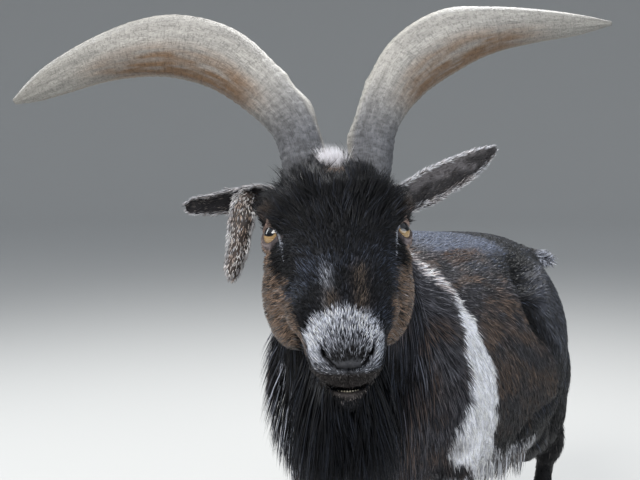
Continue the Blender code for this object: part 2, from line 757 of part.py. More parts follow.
def poll(head, draw):
    """Locks that stand up between and behind the horns."""
    skin = skin_of(head)
    turn = HEAD.to_3x3()
    made = []
    for forward, half, count, length in POLL:
        for out in spread(count, half):
            root = root_on(skin, HEAD @ Vector((out + 0.003, forward, 0.0)), turn @ Vector((0.0, 0.0, 1.0)))
            start = leaving(root[1], turn @ Vector((out * 20, draw.uniform(-0.6, -0.1), 0.3)), 1.6)
            bend = turn @ Vector((out * 12, -0.3, 0.0))
            facing = turn @ Vector((out * 20, 1.0, 0.0))
            made.append(lock(root, start, bend, length * draw.uniform(0.85, 1.1), 0.014, facing))
    return made


def beard(head, draw):
    """Locks that hang from the chin and the jaw."""
    skin = skin_of(head)
    turn = HEAD.to_3x3()
    made = []
    for forward, half, count, length in BEARD:
        for out in spread(count, half):
            out += draw.uniform(-0.002, 0.002)
            root = root_on(skin, HEAD @ Vector((out, forward, -0.090)), turn @ Vector((out * 12, 0.0, -1.0)))
            start = (turn @ Vector((out * 5, 0.0, -1.0))).normalized()
            bend = turn @ Vector((draw.uniform(-0.10, 0.10) - out * 6, draw.uniform(-0.25, 0.10), -0.6))
            facing = turn @ Vector((out * 2 + draw.uniform(-0.02, 0.02), forward - BEARD_MIDDLE, 0.0))
            made.append(lock(root, start, bend, length * draw.uniform(0.85, 1.12), 0.021, facing))
    return made


def mane(obj, draw):
    """Locks that hang from the throat and the sides of the neck down to the chest."""
    skin = skin_of(obj)
    made = []
    for x, y, z, half, count, length in MANE:
        for angle in spread(count, half):
            angle = math.radians(angle + draw.uniform(-5, 5))
            outward = Vector((math.sin(angle), -math.cos(angle), -0.15))
            root = root_on(skin, Vector((x, y, z + draw.uniform(-0.006, 0.006))), outward)
            lie = Vector((draw.uniform(-0.15, 0.15), 0.25 * abs(math.sin(angle)), -1.0))
            start = leaving(root[1], lie, draw.uniform(0.20, 0.32))
            bend = Vector((0.0, 0.0, -0.9)) - root[1] * 0.12
            facing = root[1] + root[1].cross(start) * draw.uniform(-0.7, 0.7)
            made.append(lock(root, start, bend, length * draw.uniform(0.85, 1.1), 0.034, facing))
    return made


def brush(tail, draw):
    """Locks round the outer part of the tail that lie towards its tip."""
    skin = skin_of(tail)
    rows = smooth_rows(TAIL, 8)
    made = []
    for share, count, length in BRUSH:
        at = int(share * (len(rows) - 1))
        middle, along = Vector(rows[at][:3]), Vector(rows[at][:3] - rows[at - 1][:3]).normalized()
        side = along.orthogonal().normalized()
        for k in range(count):
            angle = 2 * math.pi * (k + draw.uniform(0.0, 0.4)) / count
            root = root_on(skin, middle, side * math.cos(angle) + along.cross(side) * math.sin(angle))
            start = leaving(root[1], along, 0.30)
            made.append(lock(root, start, Vector((0.2, 0.1, -0.4)), length * draw.uniform(0.85, 1.1), 0.018))
    return made


def make_head():
    """The head with lids, nostrils and mouth, and the eyes, horns, ears and teeth set in it."""
    head = fused("head", skull() + [neck()], 0.0025, 12, 2480)
    boolean(head, [behind(NECK_TOP, -GAP / 2)], "DIFFERENCE")
    boolean(head, [ellipsoid("lid", Vector(), (LID_RADIUS,) * 3, eye_axes(side), 8) for side in (-1, 1)], "UNION")
    boolean(head, [eye_opening(-1), eye_opening(1)], "DIFFERENCE")
    draw = random.Random(11)
    boolean(head, forelock(head, draw) + poll(head, draw) + beard(head, draw), "UNION")
    lips = [(-out, *row) for out, *row in MOUTH[:0:-1]] + list(MOUTH)
    boolean(head, [slot(lips, MOUTH_DEPTH)], "DIFFERENCE")
    boolean(head, [nostril(1), nostril(-1)], "DIFFERENCE")
    eyes = [
        ellipsoid("eye_left", Vector(), (EYE_RADIUS,) * 3, eye_axes(1), 7),
        ellipsoid("eye_right", Vector(), (EYE_RADIUS,) * 3, eye_axes(-1), 7),
    ]
    horns = [horn("horn_left", HORN_LEFT, 1), horn("horn_right", HORN_RIGHT, -1)]
    left = ear("ear_left", EAR_LEFT, 1, (0.25, 0.85, -0.45))
    right = ear("ear_right", EAR_RIGHT, -1, (0.0, 0.9, -0.4))
    boolean(right, [ear("flap", EAR_FLAP, -1, (0.3, -0.95, 0.0))], "UNION")
    for part in (*eyes, *horns, left, right, make_teeth()):
        boolean(head, [grown(part)], "DIFFERENCE")
    return head


def centre_all():
    """Moves everything so that the origin is on the floor under the middle of the whole."""
    points = np.vstack([[obj.matrix_world @ v.co for v in obj.data.vertices] for obj in bpy.data.objects])
    low, high = points.min(axis=0), points.max(axis=0)
    shift = Vector((-(low[0] + high[0]) / 2, -(low[1] + high[1]) / 2, -low[2]))
    for obj in bpy.data.objects:
        obj.data.transform(Matrix.Translation(shift))
        obj.data.update()


def main():
    for obj in list(bpy.data.objects):
        bpy.data.objects.remove(obj)
    torso = whole_body()
    neck_node = cut_body(torso)
    boolean(neck_node, mane(neck_node, random.Random(5)), "UNION")
    boolean(neck_node, [grown(torso)], "DIFFERENCE")
    tail = tube("tail", TAIL, BODY, side=Vector((0, -1, 0)), sides=12, steps=2)
    boolean(tail, brush(tail, random.Random(3)), "UNION")
    boolean(tail, [grown(torso)], "DIFFERENCE")
    make_hooves()
    head = make_head()
    boolean(neck_node, [grown(head)], "DIFFERENCE")
    centre_all()
    for obj in bpy.data.objects:
        paint(obj)


main()
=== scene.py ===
"""The looks of the pygmy goat: a marked skin, a coat of solid tufts, finer horns, ears, eyes and hooves.

Metres, +Z up. Everything is shaped round the ground point under the withers, as the solids are, and
moved at the end to where the solids stand. Pieces of the head are in the head's own axes: sideways
to the goat's left, forward and up, from the middle between its eyes.
"""

import math

import bmesh
import bpy
import numpy as np
from mathutils import Matrix, Vector
from mathutils.bvhtree import BVHTree
from mathutils.kdtree import KDTree

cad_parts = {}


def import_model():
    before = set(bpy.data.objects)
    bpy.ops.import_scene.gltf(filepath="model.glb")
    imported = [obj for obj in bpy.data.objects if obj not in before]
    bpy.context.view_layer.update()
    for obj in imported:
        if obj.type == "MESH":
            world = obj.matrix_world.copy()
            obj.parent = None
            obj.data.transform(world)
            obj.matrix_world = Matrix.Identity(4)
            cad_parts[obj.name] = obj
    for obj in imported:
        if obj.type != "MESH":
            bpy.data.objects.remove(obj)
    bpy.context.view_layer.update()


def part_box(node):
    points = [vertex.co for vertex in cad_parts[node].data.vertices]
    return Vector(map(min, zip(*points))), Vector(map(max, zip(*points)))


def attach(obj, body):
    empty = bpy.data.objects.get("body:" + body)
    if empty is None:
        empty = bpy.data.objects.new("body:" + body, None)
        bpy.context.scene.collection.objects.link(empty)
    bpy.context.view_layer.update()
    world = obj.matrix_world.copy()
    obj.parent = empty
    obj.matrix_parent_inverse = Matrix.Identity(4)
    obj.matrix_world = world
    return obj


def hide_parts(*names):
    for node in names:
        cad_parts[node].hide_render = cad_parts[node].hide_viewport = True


# The head's place: the middle between the eyes, its turn to the left and its lean to the right
EYE_MIDDLE = Vector((0.068, -0.285, 0.525))
HEAD_TURN = math.radians(27.5)
HEAD_LEAN = math.radians(2.0)
EYE_SPREAD = 0.0460
EYE_RADIUS = 0.0135

# Torso: y, back height, belly height, height of the widest part, half width, squareness
TORSO = (
    (-0.150, 0.380, 0.300, 0.340, 0.020, 2.0),
    (-0.135, 0.430, 0.262, 0.345, 0.062, 2.0),
    (-0.095, 0.478, 0.226, 0.345, 0.097, 2.1),
    (-0.030, 0.499, 0.210, 0.345, 0.118, 2.2),
    (0.030, 0.503, 0.205, 0.338, 0.130, 2.2),
    (0.100, 0.499, 0.190, 0.328, 0.149, 2.3),
    (0.170, 0.493, 0.180, 0.320, 0.163, 2.4),
    (0.235, 0.487, 0.180, 0.320, 0.165, 2.4),
    (0.300, 0.482, 0.203, 0.328, 0.150, 2.3),
    (0.350, 0.477, 0.250, 0.352, 0.124, 2.2),
    (0.400, 0.470, 0.292, 0.372, 0.104, 2.2),
    (0.445, 0.456, 0.335, 0.388, 0.080, 2.1),
    (0.475, 0.430, 0.358, 0.390, 0.042, 2.0),
)
# Neck, from inside the shoulders to inside the skull: x, y, z, half width, rise, drop, squareness
NECK = (
    (0.000, 0.030, 0.390, 0.085, 0.100, 0.125, 2.0),
    (0.004, -0.060, 0.415, 0.080, 0.088, 0.118, 2.0),
    (0.018, -0.130, 0.445, 0.067, 0.075, 0.103, 2.0),
    (0.036, -0.190, 0.485, 0.057, 0.064, 0.082, 2.0),
    (0.050, -0.230, 0.515, 0.051, 0.054, 0.066, 2.0),
    (0.058, -0.252, 0.525, 0.040, 0.040, 0.050, 2.0),
)
# Where the neck is cut from the head: a point, and the way out of the neck
NECK_TOP = (EYE_MIDDLE + Vector((-0.031, 0.068, -0.022)), Vector((0.40, -0.87, 0.28)))

# Legs, top to bottom: distance outwards, y, z, half width, forward reach, back reach, squareness
FORELEG = (
    (0.060, -0.040, 0.400, 0.040, 0.060, 0.060, 2.0),
    (0.088, -0.030, 0.330, 0.042, 0.054, 0.056, 2.0),
    (0.090, -0.004, 0.270, 0.034, 0.038, 0.042, 2.0),
    (0.085, -0.004, 0.215, 0.024, 0.026, 0.029, 2.0),
    (0.080, -0.008, 0.160, 0.020, 0.022, 0.021, 2.2),
    (0.079, -0.008, 0.140, 0.019, 0.021, 0.019, 2.2),
    (0.078, -0.006, 0.105, 0.015, 0.015, 0.016, 2.0),
    (0.078, -0.006, 0.075, 0.016, 0.016, 0.018, 2.0),
    (0.078, -0.010, 0.058, 0.019, 0.019, 0.021, 2.0),
    (0.078, -0.022, 0.040, 0.019, 0.020, 0.018, 2.2),
    (0.078, -0.028, 0.020, 0.022, 0.023, 0.021, 2.2),
)
HINDLEG = (
    (0.050, 0.370, 0.420, 0.048, 0.070, 0.085, 2.0),
    (0.076, 0.362, 0.345, 0.048, 0.085, 0.100, 2.0),
    (0.100, 0.348, 0.285, 0.045, 0.068, 0.090, 2.0),
    (0.107, 0.352, 0.240, 0.038, 0.052, 0.064, 2.0),
    (0.103, 0.385, 0.203, 0.028, 0.038, 0.042, 2.0),
    (0.097, 0.428, 0.172, 0.020, 0.027, 0.028, 2.2),
    (0.094, 0.447, 0.145, 0.018, 0.021, 0.023, 2.2),
    (0.091, 0.444, 0.110, 0.015, 0.016, 0.017, 2.0),
    (0.089, 0.440, 0.078, 0.016, 0.016, 0.017, 2.0),
    (0.088, 0.434, 0.058, 0.019, 0.019, 0.020, 2.0),
    (0.087, 0.422, 0.040, 0.019, 0.020, 0.018, 2.2),
    (0.087, 0.416, 0.020, 0.022, 0.023, 0.021, 2.2),
)
# How high the legs end above the floor, inside the claws
FOOT_HEIGHT = 0.0348
# Claw, top to sole: forward set, height, half width, forward reach, back reach, squareness
CLAW = (
    (0.001, 0.0345, 0.0100, 0.0170, 0.0150, 2.2),
    (0.000, 0.0180, 0.0108, 0.0215, 0.0155, 2.2),
    (0.000, 0.0030, 0.0112, 0.0265, 0.0165, 2.2),
    (0.000, 0.0000, 0.0106, 0.0255, 0.0160, 2.2),
)
CLAW_SPREAD = 0.0126
# The feet, fore and hind: distance outwards and y
FEET = (("fore", 0.078, -0.030), ("hind", 0.087, 0.414))
# Hip bone, seat bone, shoulder and the dew claws: sideways, y, z, and the three half sizes
BODY_FORMS = (
    (0.072, 0.335, 0.434, 0.030, 0.045, 0.028),
    (0.036, 0.450, 0.402, 0.026, 0.026, 0.036),
    (0.062, -0.030, 0.362, 0.052, 0.090, 0.115),
    (0.067, 0.012, 0.060, 0.007, 0.008, 0.010),
    (0.089, 0.012, 0.060, 0.007, 0.008, 0.010),
    (0.077, 0.454, 0.060, 0.007, 0.008, 0.010),
    (0.099, 0.454, 0.060, 0.007, 0.008, 0.010),
)

# Head, from the middle between the eyes: forward, up, half width, rise, drop, squareness
SKULL = (
    (-0.078, 0.004, 0.030, 0.034, 0.032, 2.0),
    (-0.060, 0.002, 0.048, 0.055, 0.050, 2.0),
    (-0.032, -0.006, 0.058, 0.067, 0.058, 2.1),
    (0.000, -0.024, 0.058, 0.065, 0.050, 2.2),
    (0.030, -0.049, 0.047, 0.051, 0.036, 2.2),
    (0.055, -0.071, 0.037, 0.040, 0.033, 2.2),
    (0.074, -0.088, 0.032, 0.032, 0.028, 2.2),
    (0.087, -0.099, 0.027, 0.022, 0.020, 2.1),
    (0.095, -0.106, 0.014, 0.010, 0.008, 2.0),
)
# Lower jaw, from its corner to the chin, in the same measures
JAW = (
    (-0.045, -0.055, 0.040, 0.030, 0.030, 2.0),
    (-0.015, -0.072, 0.042, 0.032, 0.030, 2.0),
    (0.020, -0.092, 0.034, 0.026, 0.026, 2.0),
    (0.046, -0.109, 0.026, 0.020, 0.020, 2.0),
    (0.066, -0.118, 0.022, 0.018, 0.015, 2.0),
    (0.083, -0.122, 0.014, 0.011, 0.010, 2.0),
)
# Rounded forms on both sides of the skull: sideways, forward, up, and the three half sizes
HEAD_FORMS = (
    (0.034, -0.014, -0.050, 0.032, 0.052, 0.052),  # cheek
    (0.040, -0.006, 0.014, 0.027, 0.034, 0.024),  # brow over the eye
    (0.040, 0.000, -0.022, 0.024, 0.036, 0.024),  # rim under the eye
    (0.028, 0.036, -0.056, 0.019, 0.042, 0.026),  # side of the face
    (0.018, 0.082, -0.074, 0.012, 0.015, 0.013),  # wing of the nostril
    (0.013, 0.082, -0.095, 0.016, 0.015, 0.012),  # upper lip
)
# The same on the middle line: forward, up, and the three half sizes
MIDDLE_FORMS = (
    (0.014, 0.024, 0.040, 0.024, 0.028),  # forehead
    (0.084, -0.072, 0.015, 0.015, 0.016),  # nose pad
    (0.078, -0.122, 0.016, 0.015, 0.013),  # chin
    (-0.045, 0.038, 0.042, 0.030, 0.022),  # poll
)

# Horns, from inside the skull to the tip: sideways, forward, up, half depth of the blade, half thickness
HORN_LEFT = (
    (0.028, -0.030, 0.025, 0.0180, 0.0155),
    (0.035, -0.043, 0.061, 0.0190, 0.0165),
    (0.041, -0.052, 0.090, 0.0192, 0.0165),
    (0.055, -0.066, 0.117, 0.0224, 0.0165),
    (0.080, -0.080, 0.147, 0.0279, 0.0170),
    (0.116, -0.089, 0.168, 0.0282, 0.0165),
    (0.156, -0.097, 0.177, 0.0212, 0.0145),
    (0.199, -0.102, 0.180, 0.0153, 0.0120),
    (0.240, -0.105, 0.180, 0.0096, 0.0085),
    (0.274, -0.109, 0.181, 0.0020, 0.0020),
)
HORN_RIGHT = (
    (0.021, -0.030, 0.025, 0.0180, 0.0155),
    (0.024, -0.044, 0.058, 0.0195, 0.0165),
    (0.033, -0.057, 0.093, 0.0198, 0.0165),
    (0.058, -0.074, 0.126, 0.0236, 0.0165),
    (0.093, -0.090, 0.156, 0.0283, 0.0170),
    (0.132, -0.102, 0.170, 0.0287, 0.0165),
    (0.168, -0.110, 0.171, 0.0262, 0.0155),
    (0.210, -0.119, 0.163, 0.0212, 0.0135),
    (0.250, -0.127, 0.149, 0.0165, 0.0110),
    (0.276, -0.131, 0.137, 0.0110, 0.0080),
    (0.297, -0.134, 0.127, 0.0030, 0.0030),
)

# Ears, from inside the skull to the tip: sideways, forward, up, half width, cup depth
EAR_LEFT = (
    (0.055, -0.039, 0.021, 0.0120, 0.0090),
    (0.065, -0.037, 0.026, 0.0155, 0.0110),
    (0.084, -0.037, 0.035, 0.0180, 0.0110),
    (0.108, -0.041, 0.046, 0.0165, 0.0090),
    (0.131, -0.046, 0.057, 0.0115, 0.0060),
    (0.149, -0.052, 0.068, 0.0025, 0.0015),
)
EAR_RIGHT = (
    (0.052, -0.038, 0.024, 0.0125, 0.0080),
    (0.064, -0.039, 0.029, 0.0145, 0.0080),
    (0.084, -0.041, 0.029, 0.0125, 0.0060),
    (0.106, -0.044, 0.027, 0.0095, 0.0040),
    (0.122, -0.045, 0.026, 0.0080, 0.0030),
    (0.131, -0.046, 0.025, 0.0040, 0.0015),
)
# The torn strip of the right ear, hanging from its root
EAR_FLAP = (
    (0.055, -0.044, 0.025, 0.0080, 0.0040),
    (0.068, -0.046, 0.031, 0.0095, 0.0040),
    (0.078, -0.035, 0.028, 0.0105, 0.0045),
    (0.082, -0.025, 0.010, 0.0105, 0.0045),
    (0.086, -0.021, -0.012, 0.0090, 0.0050),
    (0.090, -0.019, -0.029, 0.0065, 0.0045),
    (0.092, -0.019, -0.038, 0.0022, 0.0015),
)
EAR_THICKNESS = 0.0032
EAR_POINTS = 17

# Tail, carried out to the left: x, y, z, half width, rise, drop, squareness
TAIL = (
    (0.000, 0.430, 0.430, 0.024, 0.014, 0.014, 2.0),
    (0.006, 0.472, 0.438, 0.023, 0.013, 0.013, 2.0),
    (0.026, 0.496, 0.436, 0.020, 0.011, 0.011, 2.0),
    (0.054, 0.510, 0.426, 0.017, 0.010, 0.010, 2.0),
    (0.082, 0.518, 0.412, 0.012, 0.008, 0.008, 2.0),
    (0.104, 0.521, 0.399, 0.003, 0.002, 0.002, 2.0),
)

# How many quarter steps of the tail's table the flesh fills, short of the tips of its hair
TAIL_SHOWN = 17
# The fold of skin before the thigh, and the fullness of thigh and shank, in the same measures
FLANK_FORMS = (
    (0.106, 0.266, 0.223, 0.027, 0.070, 0.053),
    (0.104, 0.350, 0.205, 0.030, 0.054, 0.046),
    (0.097, 0.432, 0.158, 0.027, 0.029, 0.046),
    (0.094, 0.404, 0.246, 0.032, 0.036, 0.056),
)
# The size of the cells that melt the flesh into one skin, and the rounds of smoothing after it
VOXEL = 0.0030
MELT_ROUNDS = 12


def smooth_rows(rows, steps):
    """The rows with steps - 1 more in each gap, on a smooth curve through them."""
    rows = np.array(rows, float)
    padded = np.vstack([2 * rows[0] - rows[1], rows, 2 * rows[-1] - rows[-2]])
    found = []
    for a, b, c, d in zip(padded, padded[1:], padded[2:], padded[3:]):
        for k in range(steps):
            t = k / steps
            bend = 2 * a - 5 * b + 4 * c - d + t * (3 * (b - c) + d - a)
            found.append(b + 0.5 * t * (c - a + t * bend))
    found.append(rows[-1])
    return np.array(found)


def rounded(value, power):
    """A cosine or sine bent towards a squarer section."""
    return math.copysign(abs(value) ** (2.0 / power), value)


def section(centre, across, up, measures, sides):
    """The points of one rounded section with its half width, rise, drop and squareness."""
    half_width, rise, drop, power = measures
    points = []
    for k in range(sides):
        angle = 2 * math.pi * (k + 0.5) / sides
        height = rise if math.sin(angle) > 0 else drop
        out = across * half_width * rounded(math.cos(angle), power)
        points.append(centre + out + up * height * rounded(math.sin(angle), power))
    return points


def head_place():
    """The head's own axes: left, forward and up, from the middle between the eyes."""
    forward = Vector((math.sin(HEAD_TURN), -math.cos(HEAD_TURN), 0.0))
    left = Vector((math.cos(HEAD_TURN), math.sin(HEAD_TURN), 0.0))
    up = Vector((0.0, 0.0, 1.0))
    leaning_up = up * math.cos(HEAD_LEAN) - left * math.sin(HEAD_LEAN)
    leaning_left = left * math.cos(HEAD_LEAN) + up * math.sin(HEAD_LEAN)
    turn = Matrix((leaning_left, forward, leaning_up)).transposed().to_4x4()
    return Matrix.Translation(EYE_MIDDLE) @ turn


HEAD = head_place()
TO_HEAD = np.array(HEAD.inverted())
FROM_HEAD = np.array(HEAD)


# Vectors in rows

def unit(v):
    return v / np.maximum(np.linalg.norm(v, axis=-1, keepdims=True), 1e-12)


def dot(a, b):
    return (a * b).sum(-1)


def step(value, low, high):
    """A smooth rise from 0 to 1 between low and high, or a fall where high is the lower."""
    t = np.clip((value - low) / (high - low), 0.0, 1.0)
    return t * t * (3 - 2 * t)


def mix(a, b, share):
    share = np.asarray(share)[..., None]
    return np.asarray(a) * (1 - share) + np.asarray(b) * share


def columns(*parts):
    """One row for each point, from columns and plain numbers."""
    return np.stack(np.broadcast_arrays(*parts), 1)


def to_head(points):
    return points @ TO_HEAD[:3, :3].T + TO_HEAD[:3, 3]


def from_head(points):
    return points @ FROM_HEAD[:3, :3].T + FROM_HEAD[:3, 3]


def turn_from_head(vectors):
    return vectors @ FROM_HEAD[:3, :3].T


def noise(points, size, seed=0):
    """Smooth noise from 0 to 1 with features of about that size."""
    at = points / size + 1000.0
    base = np.floor(at).astype(np.int64)
    part = at - base
    part = part * part * (3 - 2 * part)
    total = np.zeros(len(points))
    for corner in range(8):
        offset = np.array([corner & 1, (corner >> 1) & 1, corner >> 2])
        cell = base + offset
        mixed = cell[:, 0] * 73856093 ^ cell[:, 1] * 19349663 ^ cell[:, 2] * 83492791 ^ seed * 2654435761
        mixed = (mixed ^ (mixed >> 13)) * 1274126177
        value = ((mixed ^ (mixed >> 16)) & 0xFFFF) / 65535.0
        weight = np.where(offset == 1, part, 1 - part).prod(1)
        total += value * weight
    return total


# Meshes

def new_object(name, data):
    made = bpy.data.objects.new(name, data)
    bpy.context.scene.collection.objects.link(made)
    return made


def shade_smooth(mesh):
    mesh.polygons.foreach_set("use_smooth", [True] * len(mesh.polygons))


def link(name, shape):
    bmesh.ops.recalc_face_normals(shape, faces=shape.faces)
    if shape.calc_volume(signed=True) < 0:
        bmesh.ops.reverse_faces(shape, faces=shape.faces)
    mesh = bpy.data.meshes.new(name)
    shape.to_mesh(mesh)
    shape.free()
    return new_object(name, mesh)


def loft(name, rings):
    shape = bmesh.new()
    rows = [[shape.verts.new(point) for point in ring] for ring in rings]
    count = len(rows[0])
    for a, b in zip(rows, rows[1:]):
        for i in range(count):
            j = (i + 1) % count
            shape.faces.new((a[i], a[j], b[j], b[i]))
    shape.faces.new(rows[0][::-1])
    shape.faces.new(rows[-1])
    made = link(name, shape)
    shade_smooth(made.data)
    return made


def tube(name, stations, place, side=Vector((1, 0, 0)), sides=20, steps=3, lie=None):
    rows = smooth_rows(stations, steps)
    centres = [place @ Vector(row[:3]) for row in rows]
    side = (place.to_3x3() @ side).normalized()
    rings = []
    for i, row in enumerate(rows):
        along = lie or centres[min(i + 1, len(rows) - 1)] - centres[max(i - 1, 0)]
        along = along.normalized()
        across = (side - along * side.dot(along)).normalized()
        rings.append(section(centres[i], across, across.cross(along), row[3:7], sides))
    return loft(name, rings)


def ellipsoid(name, centre, radii, place, rings=12):
    shape = bmesh.new()
    bmesh.ops.create_uvsphere(shape, u_segments=2 * rings, v_segments=rings, radius=1.0)
    shape.transform(place @ Matrix.Translation(centre) @ Matrix.Diagonal((*radii, 1.0)))
    return link(name, shape)


def points_of(mesh):
    found = np.empty(len(mesh.vertices) * 3, np.float32)
    mesh.vertices.foreach_get("co", found)
    return found.reshape(-1, 3).astype(float)


def normals_of(mesh):
    found = np.empty(len(mesh.vertices) * 3, np.float32)
    mesh.vertex_normals.foreach_get("vector", found)
    return found.reshape(-1, 3).astype(float)


def set_points(mesh, points):
    mesh.vertices.foreach_set("co", points.astype(np.float32).ravel())
    mesh.update()


def set_tint(mesh, colours):
    layer = mesh.color_attributes.new("tint", "FLOAT_COLOR", "POINT")
    full = np.ones((len(colours), 4), np.float32)
    full[:, :3] = np.clip(colours, 0, 1)
    layer.data.foreach_set("color", full.ravel())


def set_vectors(mesh, name, vectors):
    layer = mesh.attributes.new(name, "FLOAT_VECTOR", "POINT")
    layer.data.foreach_set("vector", vectors.astype(np.float32).ravel())


def mesh_object(name, points, triangles):
    """An object made straight from arrays of points and triangles."""
    mesh = bpy.data.meshes.new(name)
    mesh.vertices.add(len(points))
    mesh.vertices.foreach_set("co", points.astype(np.float32).ravel())
    mesh.loops.add(triangles.size)
    mesh.loops.foreach_set("vertex_index", triangles.astype(np.int32).ravel())
    mesh.polygons.add(len(triangles))
    mesh.polygons.foreach_set("loop_start", np.arange(0, triangles.size, 3, dtype=np.int32))
    mesh.update(calc_edges=True)
    return new_object(name, mesh)


def applied(obj):
    bpy.context.view_layer.update()
    graph = bpy.context.evaluated_depsgraph_get()
    mesh = bpy.data.meshes.new_from_object(obj.evaluated_get(graph))
    obj.modifiers.clear()
    obj.data = mesh
    return obj


def fused(name, pieces, voxel, rounds):
    first = pieces[0]
    shape = bmesh.new()
    for piece in pieces:
        shape.from_mesh(piece.data)
    shape.to_mesh(first.data)
    shape.free()
    for piece in pieces[1:]:
        bpy.data.objects.remove(piece)
    first.name = name
    remesh = first.modifiers.new("Remesh", "REMESH")
    remesh.mode = "VOXEL"
    remesh.voxel_size = voxel
    melt = first.modifiers.new("Melt", "SMOOTH")
    melt.factor = 0.5
    melt.iterations = rounds
    return applied(first)


def refine(mesh, inside, smoothing=2):
    """Splits the faces of the mesh where inside(points) is true."""
    chosen = inside(points_of(mesh))
    shape = bmesh.new()
    shape.from_mesh(mesh)
    shape.verts.ensure_lookup_table()
    edges = [e for e in shape.edges if chosen[e.verts[0].index] and chosen[e.verts[1].index]]
    bmesh.ops.subdivide_edges(shape, edges=edges, cuts=1, use_grid_fill=True)
    near = [v for v, new in zip(shape.verts, inside(np.array([v.co for v in shape.verts]))) if new]
    axes = {"use_axis_x": True, "use_axis_y": True, "use_axis_z": True}
    for _ in range(smoothing):
        bmesh.ops.smooth_vert(shape, verts=near, factor=0.5, **axes)
    shape.to_mesh(mesh)
    shape.free()


# The skin

def on_both_sides(name, forms, place):
    pieces = []
    for out, forward, up, *radii in forms:
        for side in (-1, 1):
            pieces.append(ellipsoid(name, Vector((side * out, forward, up)), radii, place))
    return pieces


def leg(stations, side):
    rows = [(side * out, *row) for out, *row in stations]
    return tube("leg", rows, Matrix(), side=Vector((-1, 0, 0)), sides=24, steps=3)


def flesh():
    """The torso, neck, legs, tail and skull, melted together."""
    rows = [(0, y, wide, half, top - wide, wide - low, power) for y, top, low, wide, half, power in TORSO]
    right = Vector((-1, 0, 0))
    pieces = [
        tube("torso", rows, Matrix(), sides=48, lie=Vector((0, 1, 0))),
        tube("neck", NECK, Matrix(), side=right, sides=40),
        tube("skull", [(0.0, *row) for row in SKULL], HEAD, side=right, sides=40),
        tube("jaw", [(0.0, *row) for row in JAW], HEAD, side=right, sides=32),
        tube("tail", smooth_rows(TAIL, 4)[:TAIL_SHOWN], Matrix(), side=Vector((0, -1, 0)), sides=20),
    ]
    for forward, up, *radii in MIDDLE_FORMS:
        pieces.append(ellipsoid("form", Vector((0.0, forward, up)), radii, HEAD))
    pieces += on_both_sides("form", HEAD_FORMS, HEAD)
    pieces += on_both_sides("form", BODY_FORMS + FLANK_FORMS, Matrix())
    pieces += [leg(stations, side) for stations in (FORELEG, HINDLEG) for side in (-1, 1)]
    return fused("skin", pieces, VOXEL, MELT_ROUNDS)


def head_share(points):
    """1 on the head, 0 on the neck."""
    point, direction = NECK_TOP
    direction = np.array(direction.normalized())
    return step(-((points - np.array(point)) @ direction), 0.01, -0.01)


def is_head(points):
    point, direction = NECK_TOP
    return (points - np.array(point)) @ np.array(direction.normalized()) > 0.0


# How far each eye looks outwards, how far it stands out past the solid one, and the opening between its
# lids: half width towards the nose and the ear, half height and how high
GAZE_TURN = math.radians(50)
EYE_OUT = 0.0030
LID_OPENING = (0.0088, 0.0118, 0.0068, 0.0022)


def eye_axes(side):
    look = Vector((side * math.sin(GAZE_TURN), math.cos(GAZE_TURN), 0.06)).normalized()
    wide = Vector((0, 0, 1)).cross(look).normalized()
    turn = Matrix((wide, look.cross(wide), look)).transposed().to_4x4()
    return HEAD @ Matrix.Translation((side * (EYE_SPREAD + EYE_OUT), 0, 0)) @ turn


def in_eye(points, side):
    place = np.array(eye_axes(side).inverted())
    return points @ place[:3, :3].T + place[:3, 3]


def lid_distance(points, side):
    """How far each point is from the edge of the opening between the lids, below 0 inside it."""
    local = in_eye(points, side)
    radius = np.maximum(np.linalg.norm(local, axis=1), 1e-6)
    flat = local / radius[:, None] * EYE_RADIUS
    half_width = np.where(side * flat[:, 0] > 0, LID_OPENING[0], LID_OPENING[1])
    half_height, raised = LID_OPENING[2:]
    across = np.clip(np.abs(flat[:, 0]) / half_width, 0, 1)
    edge = half_height * (1 - across**2) ** 0.8
    height = flat[:, 1] - raised
    distance = np.abs(height) - edge
    beside = np.hypot(np.maximum(np.abs(flat[:, 0]) - half_width, 0), height)
    distance = np.where(np.abs(flat[:, 0]) > half_width, beside, distance)
    return np.where(local[:, 2] > 0, distance, 1.0), radius, local


def shape_lids(points):
    """Draws the skin round the eyeballs into two lids with a fold above and below."""
    for side in (-1, 1):
        distance, radius, local = lid_distance(points, side)
        near = (distance < 0.022) & (radius < EYE_RADIUS + 0.014)
        inner, rim = EYE_RADIUS - 0.0030, EYE_RADIUS + 0.0020
        target = inner + (rim - inner) * step(distance, -0.0009, 0.0005)
        upper = local[:, 1] > LID_OPENING[3]
        fold = np.where(upper, 0.0052, 0.0058)
        crease = np.exp(-(((distance - fold) / 0.0012) ** 2)) * np.where(upper, 0.0014, 0.0008)
        swell = np.exp(-(((distance - fold * 0.5) / 0.0020) ** 2)) * 0.0006
        share = step(radius, EYE_RADIUS + 0.007, EYE_RADIUS + 0.014)
        share = np.maximum(step(distance, 0.0020, 0.0080), share)
        ear_side = step(-side * local[:, 0], -0.002, 0.006)
        wanted = target * (1 - share) + radius * share - crease + swell
        orbit = (0.0012 + 0.0036 * ear_side) * step(distance, 0.0010, 0.0075)
        least = EYE_RADIUS + orbit - 0.9 * np.maximum(distance - 0.0090, 0)
        wanted = np.maximum(wanted, np.where(distance > 0.0006, least, 0))
        place = np.array(eye_axes(side))
        moved = (local / radius[:, None] * wanted[:, None]) @ place[:3, :3].T + place[:3, 3]
        points = np.where(near[:, None], moved, points)
    return points


